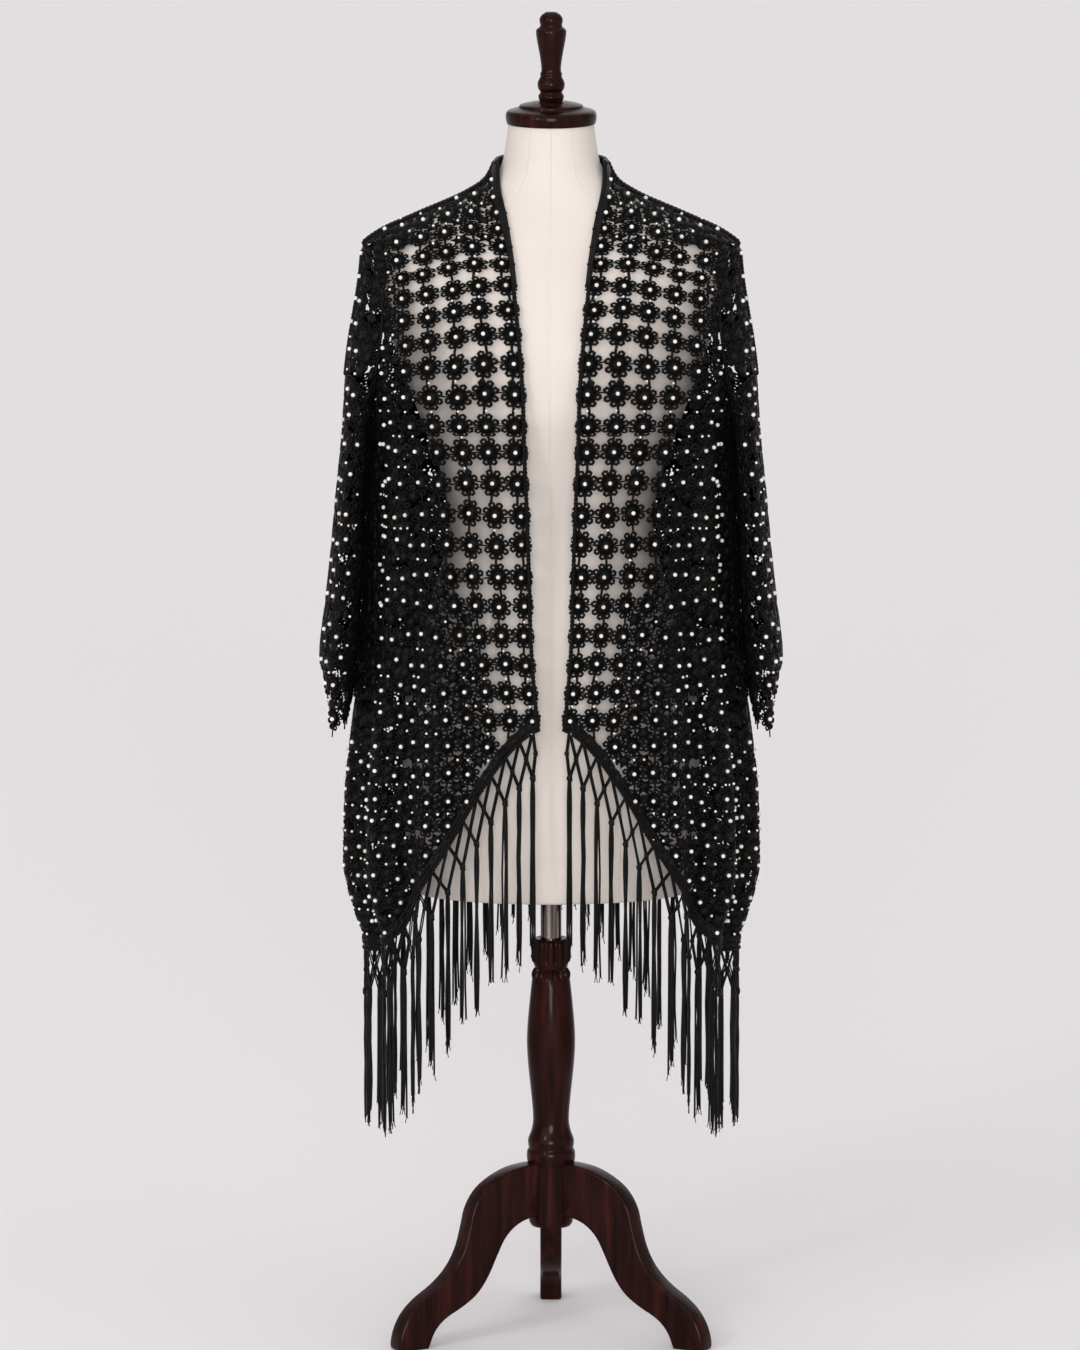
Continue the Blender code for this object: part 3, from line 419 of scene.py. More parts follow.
def even_shares(start_turn):
    """Shares of the turn from a start to the side at which columns are evenly wide at the hem."""
    steps = np.linspace(0.0, 1.0, 401)
    level = np.full(len(steps), HEM_SIDE + HEM_RISE / 2)
    points = section_point(start_turn + (math.pi / 2 - start_turn) * steps, level)
    lengths = np.cumsum(np.linalg.norm(np.diff(points, axis=0), axis=1))
    lengths = np.concatenate(([0.0], lengths))
    return np.interp(np.linspace(0.0, lengths[-1], HEM_COLUMNS + 1), lengths, steps)


def fold_swing(folds, across, height):
    """Sideways swing of the cloth at a place across a quarter, from its table of folds."""
    table = np.array(folds)
    low = ease(height, CUFF_ZONE_TOP, CUFF_ZONE_BOTTOM)
    index = np.clip(np.searchsorted(table[:, PLACE], across) - 1, 0, len(table) - 2)
    share = ease(across, table[index, PLACE], table[index + 1, PLACE])
    high = table[:, SWING_HIGH]
    change = table[:, SWING_LOW] - high
    start = high[index] + change[index] * low
    end = high[index + 1] + change[index + 1] * low
    return start + (end - start) * share


class Quarter:
    """One front, or one half of the back, as a surface from its middle (0) to the side seam (1)."""

    def __init__(self, face, side):
        self.face = face
        self.side = side
        self.folds = FRONT_FOLDS if face == FRONT else BACK_FOLDS
        start = float(opening_turn(np.array(HEM_SIDE + HEM_RISE))) if face == FRONT else 0.0
        self.shares = even_shares(start)

    def turn(self, across, height):
        share = np.interp(across * HEM_COLUMNS, np.arange(HEM_COLUMNS + 1), self.shares)
        start = opening_turn(height) if self.face == FRONT else 0.0
        turn = start + (side_turn(height, self.face) - start) * share
        return self.side * (turn if self.face == FRONT else math.pi - turn)

    def point(self, across, height):
        across, height = np.broadcast_arrays(across, height)
        growth = ease(height, FOLDS_START, FOLDS_FULL) * FOLD_DEPTH
        if self.side < 0:
            growth = growth * RIGHT_SIDE_SHARE
        flat = section_point(self.turn(across, height), height)
        swing = growth * fold_swing(self.folds, across, height)
        return flat + level_outward(flat) * swing[..., None]

    def lowest(self, across):
        """Height of the arched hem at a place across the quarter."""
        turn = self.turn(across, np.full(np.shape(across), HEM_SIDE))
        ratio = np.abs(np.sin(turn)) ** (2 / BODY_ROUNDNESS)
        return HEM_SIDE + HEM_RISE * np.cos(math.pi / 2 * ratio) ** 2


class SleeveHalf:
    """The front or back half of a sleeve, from its outer line (0) to the armhole or the inner line (1)."""

    def __init__(self, face, side):
        self.toward = 1.0 if face == FRONT else -1.0
        self.side = side

    def angle(self, across, height):
        reach = ARMHOLE_HALF_HEIGHT - SEAM - SLEEVE_LIFT / 3
        last = np.arccos(np.clip((height - ARMHOLE_HEIGHT) / reach, -1.0, 1.0))
        return across * last

    def point(self, across, height):
        across, height = np.broadcast_arrays(across, height)
        angle = self.angle(across, height)
        gap = SEAM + SLEEVE_LIFT / 3
        start_height = ARMHOLE_HEIGHT + (ARMHOLE_HALF_HEIGHT - gap) * np.cos(angle)
        start_y = -(ARMHOLE_HALF_DEPTH - gap) * np.sin(angle) * self.toward
        share = (start_height - height) / (start_height - self.cuff(angle))
        opened = 1 - (1 - np.clip(share / SLEEVE_OPENS_BY, 0.0, 1.0)) ** 2
        outer_x = table_value(SLEEVE_SECTIONS, height, OUTER_LINE)
        inner_x = table_value(CLOTH_SECTIONS, height, HALF_WIDTH) + BESIDE_BODY
        half_depth = table_value(SLEEVE_SECTIONS, height, HALF_DEPTH)
        hanging_x = (outer_x + inner_x) / 2 + (outer_x - inner_x) / 2 * np.cos(angle)
        start_x = self.edge_x(start_y, start_height) + SLEEVE_LIFT
        x = start_x + (hanging_x - start_x) * opened
        y = start_y + (-half_depth * np.sin(angle) * self.toward - start_y) * opened
        return np.stack((x * self.side, y, height), axis=-1)

    def edge_x(self, y, height):
        """Distance from the middle to the body's cloth at the armhole."""
        depth = section_depth(CLOTH_SECTIONS, height, y < 0)
        forwards = -signed_power(y / depth, roundness(height) / 2)
        return section_point(np.arccos(forwards), height)[..., 0]

    def cuff(self, angle):
        """Height at which the sleeve's lower edge hangs."""
        inner = ((1 - np.cos(angle)) / 2) ** 2
        outer = ((1 + np.cos(angle)) / 2) ** 2
        middle = 1 - inner - outer
        height = CUFF_OUTER * outer + CUFF_MIDDLE * middle + CUFF_INNER * inner
        hollow = middle * (1 - 2 * np.minimum(middle, 0.5))
        return height - hollow * (CUFF_OUTER - CUFF_MIDDLE) / 4

    def lowest(self, across):
        return self.cuff(across * math.pi)


class Drape:
    """A surface as a table of points: level rows from the top down, places evenly spaced along each."""

    def __init__(self, surface, top, facing):
        self.surface = surface
        self.levels = np.arange(top, HEM_BOTTOM - TABLE_STEP, -TABLE_STEP)
        places = np.linspace(0.0, 1.0, TABLE_PLACES)
        points = surface.point(places[None, :], self.levels[:, None])
        steps = np.linalg.norm(np.diff(points, axis=1), axis=2)
        lengths = np.concatenate((np.zeros((len(points), 1)), np.cumsum(steps, axis=1)), axis=1)
        self.widths = lengths[:, -1]
        self.places = np.empty((len(points), TABLE_PLACES))
        for row, length in enumerate(lengths):
            even = np.interp(places, length / length[-1], places)
            self.places[row] = even
            points[row] = along_table(even, places, points[row])
        normals = unit(np.cross(np.gradient(points, axis=1), np.gradient(points, axis=0)))
        middle = normals[len(normals) // 2, 0]
        self.points = points + np.array((0.0, AXIS_Y, 0.0))
        self.normals = normals * np.sign(middle @ np.array(facing))

    def width(self, height):
        return np.interp(-height, -self.levels, self.widths)

    def read(self, table, along, height):
        """A table's values at distances along the rows, between its rows and places."""
        row = np.clip((self.levels[0] - height) / TABLE_STEP, 0, len(self.levels) - 1.001)
        place = np.clip(along / self.width(height), 0, 1) * (TABLE_PLACES - 1)
        place = np.minimum(place, TABLE_PLACES - 1.001)
        above, left = row.astype(int), place.astype(int)
        down, right = row - above, place - left
        if table.ndim == 3:
            down, right = down[..., None], right[..., None]
        upper = table[above, left] * (1 - right) + table[above, left + 1] * right
        lower = table[above + 1, left] * (1 - right) + table[above + 1, left + 1] * right
        return upper * (1 - down) + lower * down

    def lay(self, along, height, lift):
        """Points at distances along the rows, lifted off the middle of the wall."""
        along, height = np.broadcast_arrays(along, height)
        out = np.broadcast_to(lift, along.shape)[..., None] - WALL / 2
        return self.read(self.points, along, height) + self.read(self.normals, along, height) * out

    def lowest(self, along, height):
        return self.surface.lowest(self.read(self.places, along, height))

    def area(self):
        """Area of the cloth above its lower edge."""
        along = np.linspace(0.0, 1.0, TABLE_PLACES)[None, :] * self.widths[:, None]
        levels = np.broadcast_to(self.levels[:, None], along.shape)
        kept = levels > self.lowest(along, levels)
        down = np.gradient(self.points, axis=0)
        across = np.gradient(self.points, axis=1)
        return float((np.linalg.norm(np.cross(across, down), axis=2) * kept).sum())


class Lattice:
    """Columns and rows of flowers on a drape. Column 0 is the drape's start line."""

    def __init__(self, drape, inner, full, spacing=COLUMN_SPACING):
        self.drape = drape
        self.inner = inner
        self.full = full
        self.spacing = spacing
        reference = drape.points[:, int(TABLE_PLACES * 0.45)]
        stretch = np.linalg.norm(np.gradient(reference, axis=0), axis=1) / TABLE_STEP
        rows = np.cumsum(stretch * TABLE_STEP / table_value(ROW_SPACING, drape.levels, 1))
        self.rows = rows - np.interp(-ROW_ANCHOR, -drape.levels, rows)

    def spot(self, column, row):
        """Distance along and height of a place in the lattice."""
        height = np.interp(row, self.rows, self.drape.levels)
        spacing = table_value(self.spacing, height, 1)
        level = np.minimum(height, EVEN_TO_SIDE_BELOW)
        to_side = (self.drape.width(level) - self.inner * spacing) / (self.full - self.inner)
        outer = spacing + (to_side - spacing) * ease(height, EVEN_TO_SIDE_FROM, EVEN_TO_SIDE_BELOW)
        along = np.minimum(column, self.inner) * spacing + np.maximum(column - self.inner, 0) * outer
        height = height - table_value(ROW_DROOP, height, 1) * np.maximum(along - DROOP_FROM, 0.0)
        return along, height

    def lay(self, column, row, lift, sewn_below=True):
        """Points of the lace, drawn up short of the seams as cloth is that is sewn down."""
        along, height = self.spot(column, row)
        along = soft_limit(along, self.drape.width(height))
        height = np.minimum(height, self.drape.levels[0])
        if sewn_below:
            lowest = self.drape.lowest(along, height) + LAPPED_TO
            height = -soft_limit(-height, -lowest)
        return self.drape.lay(along, height, lift)

    def strayed(self, column, row):
        """Places of the flowers once each has strayed from the even pattern, more so where they crowd."""
        crowd = np.clip((column - self.inner) / 2.0, 0.0, 1.0)
        across, down = (least + more * crowd for least, more in STRAYING)
        across = column + across * uneven(column + 7 * row, 4.7)
        down = row + down * uneven(5 * column + row, 3.9)
        return across, down

    def fillers(self, first_column, margin):
        """Lattice places between the flowers where the lace is gathered: towards the sides and below."""
        column, row, height, kept = self.between(first_column, margin, 0.5, 0.5)
        share = np.clip((height - CROWDED_BELOW) / (CROWDED_SIDES_FROM - CROWDED_BELOW), 0.0, 1.0)
        kept &= (column > self.inner * (0.6 + 0.4 * share) - 0.6) | (height > CROWDED_ABOVE)
        return column[kept], row[kept]

    def packing(self, first_column, margin):
        """More places for fillers at the sides, beside and below each flower."""
        for aside, below in ((0.5, 0.0), (0.0, 0.5)):
            column, row, height, kept = self.between(first_column, margin, aside, below)
            high, low = height > CROWDED_ABOVE, height < CROWDED_BELOW
            kept &= column > self.inner - 1.5 * high + 1.4 * low - 0.1
            yield column[kept], row[kept]

    def between(self, first_column, margin, aside, below):
        column, row, _ = self.flowers(first_column + aside, margin)
        row = row + below
        along, height = self.spot(column, row)
        return column, row, height, height > self.drape.lowest(along, height) + margin

    def flowers(self, first_column, margin):
        """Lattice places of the flowers that lie on the cloth, and which of them carry a pearl."""
        columns = first_column + np.arange(self.full)
        rows = np.arange(math.ceil(self.rows[0]), math.floor(self.rows[-1]) + 1)
        column, row = (part.ravel() for part in np.meshgrid(columns, rows))
        along, height = self.spot(column, row)
        room = self.drape.width(height) - along
        inside = room > -FLOWER_PAST_SEAM * CELL_WIDTH
        inside &= height > self.drape.lowest(along, height) + margin
        inside &= height < self.drape.levels[0] - 0.004
        sewn = room[inside] > PEARL_FROM_SEAM * CELL_WIDTH
        return column[inside], row[inside], sewn


def soft_limit(value, limit):
    over = np.maximum(value - (limit - SEAM_GIVE), 0.0)
    return np.minimum(value, limit - SEAM_GIVE) + SEAM_GIVE * np.tanh(over / SEAM_GIVE)


def grid(rows, columns, wrap_rows=False, wrap_columns=False):
    """Triangles of a grid of points that are listed row by row."""
    i = np.arange(rows if wrap_rows else rows - 1)[:, None]
    j = np.arange(columns if wrap_columns else columns - 1)[None, :]
    right, below = (j + 1) % columns, (i + 1) % rows * columns
    corners = np.broadcast_arrays(i * columns + j, i * columns + right, below + right, below + j)
    corners = np.stack(corners, axis=-1).reshape(-1, 4)
    return np.concatenate((corners[:, [0, 1, 2]], corners[:, [0, 2, 3]]))


def closed_grid(rings, sides):
    """Triangles of a tube of points that are listed ring by ring, with a fan over each end."""
    fan = np.array([(0, i, i + 1) for i in range(1, sides - 1)])
    last = (rings - 1) * sides
    return np.concatenate((grid(rings, sides, wrap_columns=True), fan[:, ::-1], fan + last))


def along_table(at, places, table):
    """A table's points or directions, read between the places that its rows stand for."""
    return np.stack([np.interp(at, places, table[:, k]) for k in range(3)], -1)


def link_object(name, data):
    """A new object in the scene."""
    made = bpy.data.objects.new(name, data)
    bpy.context.scene.collection.objects.link(made)
    return made


def volume(points, faces):
    a, b, c = (points[faces[:, k]] for k in range(3))
    return float(np.einsum("ij,ij->", a - points[0], np.cross(b - points[0], c - points[0])))


class Pile:
    """Points and triangles of one piece, gathered from closed shapes."""

    def __init__(self):
        self.points = []
        self.faces = []
        self.count = 0

    def add(self, points, faces):
        if volume(points, faces) < 0:
            faces = faces[:, ::-1]
        self.points.append(points)
        self.faces.append(faces + self.count)
        self.count += len(points)

    def joined(self):
        return np.concatenate(self.points), np.concatenate(self.faces)

    def add_copies(self, laid, faces):
        """Adds copies of one shape, with their points laid copy by copy."""
        shift = (np.arange(laid.shape[0]) * laid.shape[1])[:, None, None]
        self.add(laid.reshape(-1, 3), (faces[None] + shift).reshape(-1, 3))

    def piece(self, name, finish, body, sharp_from=None):
        """Makes the pile an object that rides on a body."""
        points, faces = self.joined()
        mesh = bpy.data.meshes.new(name)
        mesh.from_pydata(points.tolist(), [], faces.tolist())
        mesh.shade_smooth()
        if sharp_from:
            mesh.set_sharp_from_angle(angle=math.radians(sharp_from))
        mesh.materials.append(finish)
        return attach(link_object(name, mesh), body)


def tube(path, radius, sides, facing):
    """A tube round a path, closed at its ends."""
    path = np.asarray(path, float)
    along = unit(np.gradient(path, axis=0))
    sideways = unit(np.cross(along, np.broadcast_to(facing, path.shape)))
    up = np.cross(sideways, along)
    angles = 2 * math.pi * np.arange(sides) / sides
    radius = np.broadcast_to(radius, len(path))[:, None, None]
    round_it = np.cos(angles)[:, None] * sideways[:, None, :] + np.sin(angles)[:, None] * up[:, None, :]
    points = (path[:, None, :] + radius * round_it).reshape(-1, 3)
    return points, closed_grid(len(path), sides)


def rope(pile, path, facing, radius, turn):
    """Two strands twisted along a path; facing is the cloth's outward direction at each of its points."""
    steps = np.linalg.norm(np.diff(path, axis=0), axis=1)
    lengths = np.concatenate(([0.0], np.cumsum(steps)))
    count = max(int(lengths[-1] / (turn / ROPE_STEPS)), 2)
    at = np.linspace(0.0, lengths[-1], count + 1)
    line = along_table(at, lengths, path)
    out = unit(along_table(at, lengths, facing))
    sideways = unit(np.cross(np.gradient(line, axis=0), out))
    for phase in (0.0, 0.5):
        angle = 2 * math.pi * (at / turn + phase)
        swing = np.cos(angle)[:, None] * sideways + np.sin(angle)[:, None] * out * 0.6
        pile.add(*tube(line + swing * radius * 0.8, radius, 4, out))


def circle(count, start=0.0):
    """Points of a circle of radius 1, evenly spaced from a start angle."""
    angles = 2 * math.pi * np.arange(count) / count + start
    return np.stack((np.cos(angles), np.sin(angles)), axis=-1)


def loop_shape(centre):
    """A flat petal of thread, looped round a centre in the cell."""
    outwards = circle(LOOP_SEGMENTS, math.atan2(centre[1], centre[0]))
    low = -0.4 * THREAD_HALF_THICKNESS
    corners = ((LOOP_HALF_WIDTH, low), (0.0, THREAD_HALF_THICKNESS), (-LOOP_HALF_WIDTH, low))
    rings = []
    for wider, lift in corners:
        flat = np.array(centre) + outwards * (LOOP_RADIUS + wider)
        rings.append(np.column_stack((flat, np.full(LOOP_SEGMENTS, lift))))
    points = np.stack(rings, axis=1).reshape(-1, 3)
    return points, grid(LOOP_SEGMENTS, 3, wrap_rows=True, wrap_columns=True)


def pad_shape(outline, rise):
    """A low pad, highest in the middle of its outline."""
    edge = np.column_stack((outline, np.zeros(len(outline))))
    middle = np.array((*np.mean(outline, axis=0), rise))
    points = np.concatenate((edge, [middle, middle * (1, 1, -1)]))
    count = len(outline)
    faces = []
    for i in range(count):
        after = (i + 1) % count
        faces += [(i, after, count), (after, i, count + 1)]
    return points, np.array(faces)


def bar_shape(start, end, half_width, half_thickness):
    """A straight link of four sides."""
    line = np.array([(*start, 0.0), (*end, 0.0)])
    points, faces = tube(line, 1.0, 4, (0.0, 0.0, 1.0))
    offset = points - np.repeat(line, 4, axis=0)
    offset[:, :2] *= half_width
    offset[:, 2] *= half_thickness
    return np.repeat(line, 4, axis=0) + offset, faces


def flower_shape():
    """One flower of the lace with the links to its right and below, round the middle of its cell."""
    pile = Pile()
    for petal in range(PETALS):
        angle = 2 * math.pi * (petal + 0.5) / PETALS
        pile.add(*loop_shape((LOOP_OUT[0] * math.cos(angle), LOOP_OUT[1] * math.sin(angle))))
    pile.add(*pad_shape(circle(PAD_CORNERS) * np.array(MIDDLE_RADII), MIDDLE_HALF_THICKNESS))
    across, down = LINK_HALF_WIDTHS
    pile.add(*bar_shape((LINK_FROM[0], 0.0), (CELL_WIDTH - LINK_FROM[0], 0.0), across, across))
    pile.add(*bar_shape((0.0, LINK_FROM[1]), (0.0, CELL_HEIGHT - LINK_FROM[1]), down, across))
    return pile.joined()


def filler_shape():
    """A small star of thread, which fills the lace where it is gathered."""
    reach = np.where(np.arange(PAD_CORNERS) % 2, FILLER_RADII[0], FILLER_RADII[1])
    pile = Pile()
    pile.add(*pad_shape(circle(PAD_CORNERS) * reach[:, None], THREAD_HALF_THICKNESS))
    return pile.joined()


def uneven(values, rate):
    """A fixed, irregular number from -1 to 1 for each value."""
    return np.sin(rate * values + 5.1 * np.sin(1.7 * rate * values))


def scatter(pile, shape, lattice, column, row, sewn_below):
    """Adds a copy of a flower or filler at each place of the lattice, strayed and turned a little."""
    points, faces = shape
    turn = FLOWER_TURN * uneven(column * 3.1 + row, 2.3)[:, None]
    x = points[:, 0] * np.cos(turn) - points[:, 1] * np.sin(turn)
    y = points[:, 0] * np.sin(turn) + points[:, 1] * np.cos(turn)
    spacing = lattice.spot(column + 0.5, row)[0] - lattice.spot(column - 0.5, row)[0]
    across, down = lattice.strayed(column, row)
    columns = across[:, None] + x / np.minimum(spacing, CELL_WIDTH)[:, None]
    rows = down[:, None] + y / CELL_HEIGHT
    lift = np.broadcast_to(points[:, 2], columns.shape)
    pile.add_copies(lattice.lay(np.maximum(columns, 0.0), rows, lift, sewn_below), faces)


def ball(subdivisions):
    shape = bmesh.new()
    bmesh.ops.create_icosphere(shape, subdivisions=subdivisions, radius=1.0)
    points = np.array([vertex.co[:] for vertex in shape.verts])
    faces = np.array([[vertex.index for vertex in face.verts] for face in shape.faces])
    shape.free()
    return points, faces


def add_balls(pile, centres, radius, subdivisions=2):
    points, faces = ball(subdivisions)
    pile.add_copies(centres[:, None, :] + points * radius, faces)


def pearls(pile, lattice, column, row, showing):
    """A pearl on each flower's middle, and a small bead on some of the links."""
    across, down = lattice.strayed(column, row)
    centres = lattice.lay(across, down, MIDDLE_HALF_THICKNESS + PEARL_RADIUS * PEARL_SEAT, False)
    kept = showing(centres)
    add_balls(pile, centres[kept], PEARL_RADIUS)
    some = kept & (uneven(column * 2.3 + row * 1.9, 3.3) > LINK_BEADS_FROM)
    beads = lattice.lay(column[some], row[some] + 0.5, THREAD_HALF_THICKNESS, False)
    add_balls(pile, beads, LINK_BEAD_RADIUS, 1)


def clear_of_sleeve(points):
    """Whether points of the body's cloth lie outside what a sleeve covers."""
    out, depth, bottom = BEHIND_SLEEVE
    covered = (np.abs(points[:, 0]) > out) & (np.abs(points[:, 1] - AXIS_Y) < depth)
    return ~(covered & (points[:, 2] > bottom))


def outer_side(points):
    """Whether points of a sleeve lie on the side away from the body."""
    outer = table_value(SLEEVE_SECTIONS, points[:, 2], OUTER_LINE)
    inner = table_value(CLOTH_SECTIONS, points[:, 2], HALF_WIDTH)
    away = np.abs(points[:, 0])
    return (away > inner + 0.3 * (outer - inner)) & (away < outer - 0.0002)


def set_inputs(node, values):
    for name, value in values.items():
        node.inputs[name].default_value = value


class Finish:
    """A material: a shader with its values, and textures in the object's own coordinates."""

    def __init__(self, name, values):
        self.made = bpy.data.materials.new(name)
        self.made.use_nodes = True
        self.nodes = self.made.node_tree.nodes
        self.links = self.made.node_tree.links
        self.shader = self.nodes["Principled BSDF"]
        set_inputs(self.shader, values)

    def node(self, kind, values, sources):
        """A new node with its values, and with inputs that are linked from other sockets."""
        made = self.nodes.new(kind)
        set_inputs(made, values)
        for name, socket in sources.items():
            self.links.new(socket, made.inputs[name])
        return made

    def place(self, scale=(1.0, 1.0, 1.0)):
        """Object coordinates with a scale for each axis."""
        where = self.node("ShaderNodeTexCoord", {}, {}).outputs["Object"]
        return self.node("ShaderNodeMapping", {"Scale": scale}, {"Vector": where}).outputs["Vector"]

    def noise(self, vector, scale, detail=2.0):
        values = {"Scale": scale, "Detail": detail}
        return self.node("ShaderNodeTexNoise", values, {"Vector": vector}).outputs["Fac"]

    def colours(self, factor, *stops):
        """The shader's colour, from stops that are each a place and a colour."""
        ramp = self.node("ShaderNodeValToRGB", {}, {"Fac": factor})
        elements = ramp.color_ramp.elements
        for index, (place, colour) in enumerate(stops):
            element = elements[index] if index < 2 else elements.new(place)
            element.position = place
            element.color = (*colour, 1.0)
        self.links.new(ramp.outputs["Color"], self.shader.inputs["Base Color"])

    def bump(self, height, strength, distance):
        values = {"Strength": strength, "Distance": distance}
        made = self.node("ShaderNodeBump", values, {"Height": height})
        self.links.new(made.outputs["Normal"], self.shader.inputs["Normal"])


def thread_finish(name, fineness, roughness):
    """Shiny black rayon thread with a fine twist."""
    values = {
        "Roughness": roughness,
        "Specular IOR Level": 0.12,
        "Sheen Weight": 0.004,
        "Sheen Roughness": 0.4,
    }
    finish = Finish(name, values)
    even = finish.place()
    dark, light = (0.0008, 0.0008, 0.0009), (0.0042, 0.0038, 0.0038)
    finish.colours(finish.noise(even, 60.0), (0.3, dark), (0.75, light))
    wave = finish.node("ShaderNodeTexWave", {"Scale": fineness, "Distortion": 2.5}, {"Vector": even})
    wave.bands_direction = "DIAGONAL"
    finish.bump(wave.outputs["Fac"], 0.35, 0.0004)
    return finish.made


def pearl_finish():
    finish = Finish("pearl", {"Roughness": 0.16, "Coat Weight": 0.6, "Coat Roughness": 0.08})
    warm, cool = (0.56, 0.50, 0.43), (0.76, 0.74, 0.70)
    finish.colours(finish.noise(finish.place(), 45.0), (0.35, warm), (0.6, cool))
    return finish.made


def jersey_finish():
    """Cream jersey with a fine knit."""
    finish = Finish("jersey", {"Roughness": 0.85, "Sheen Weight": 0.08})
    low, high = (0.572, 0.517, 0.476), (0.614, 0.560, 0.521)
    finish.colours(finish.noise(finish.place(), 9.0, 3.0), (0.3, low), (0.7, high))
    finish.bump(finish.noise(finish.place((1.0, 1.0, 0.35)), 900.0), 0.25, 0.0003)
    return finish.made


def wood_finish():
    """Dark polished mahogany, with its grain up the piece."""
    values = {
        "Roughness": 0.26,
        "Specular IOR Level": 0.04,
        "Coat Weight": 0.09,
        "Coat Roughness": 0.06,
    }
    finish = Finish("dark_wood_grain", values)
    grain = finish.noise(finish.place((38.0, 38.0, 3.0)), 3.0, 5.0)
    dark, mid, red = (0.004, 0.0010, 0.0008), (0.016, 0.0036, 0.0028), (0.044, 0.0090, 0.0060)
    finish.colours(grain, (0.25, dark), (0.85, red), (0.55, mid))
    finish.bump(grain, 0.10, 0.0005)
    return finish.made


def steel_finish():
    finish = Finish("polished_steel", {"Roughness": 0.12, "Metallic": 1.0})
    # The stripes up the tube are painted reflections: dark, mid and light bands in the steel's colour
    # stand for the surroundings it mirrors, not marks on the metal.
    painted_reflection_streaks = finish.noise(finish.place((300.0, 300.0, 1.0)), 1.0, 1.0)
    dark, mid, light = (0.02, 0.017, 0.015), (0.26, 0.22, 0.20), (0.90, 0.85, 0.81)
    finish.colours(painted_reflection_streaks, (0.42, dark), (0.74, light), (0.56, mid))
    return finish.made


def floor_finish():
    values = {"Base Color": (0.795, 0.762, 0.770, 1.0), "Roughness": 0.9, "Specular IOR Level": 0.0}
    return Finish("pale_floor", values).made


class Materials:
    """The finishes that the pieces share."""

    def __init__(self):
        self.thread = thread_finish("black_thread", 900.0, 0.40)
        self.cord = thread_finish("black_cord", 500.0, 0.36)
        self.pearl = pearl_finish()
        self.jersey = jersey_finish()
        self.wood = wood_finish()
        self.steel = steel_finish()
        self.floor = floor_finish()


def lace_piece(name, patches, materials, is_sleeve=False):
    """Lace and pearls of one cut piece, from its drapes and their columns of flowers."""
    lace, beads = Pile(), Pile()
    shape, filler = flower_shape(), filler_shape()
    sewn_below = not is_sleeve
    margin = CUFF_MARGIN if is_sleeve else HEM_MARGIN
    spacing = SLEEVE_COLUMN_SPACING if is_sleeve else COLUMN_SPACING
    showing = outer_side if is_sleeve else clear_of_sleeve
    fullness = SLEEVE_FULLNESS if is_sleeve else BODY_FULLNESS
    small_lift = THREAD_HALF_THICKNESS + SMALL_PEARL_RADIUS * SMALL_PEARL_SEAT
    area = 0.0
    for drape, inner, full, first in patches:
        lattice = Lattice(drape, inner, full, spacing)
        column, row, sewn = lattice.flowers(first, margin)
        scatter(lace, shape, lattice, column, row, sewn_below)
        pearls(beads, lattice, column[sewn], row[sewn], showing)
        for column, row in lattice.packing(first, margin) if sewn_below else ():
            scatter(lace, filler, lattice, column, row, True)
        column, row = lattice.fillers(first, margin)
        scatter(lace, filler, lattice, column, row, sewn_below)
        small = uneven(column * 1.3 + row * 2.9, 4.1) > SMALL_PEARLS_FROM
        centres = lattice.lay(column[small], row[small], small_lift, False)
        add_balls(beads, centres[showing(centres)], SMALL_PEARL_RADIUS, 1)
        area += drape.area() * fullness
    made = lace.piece("lace_" + name, materials.thread, "form")
    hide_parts(name)
    dots = beads.piece("pearls_" + name, materials.pearl, "form")


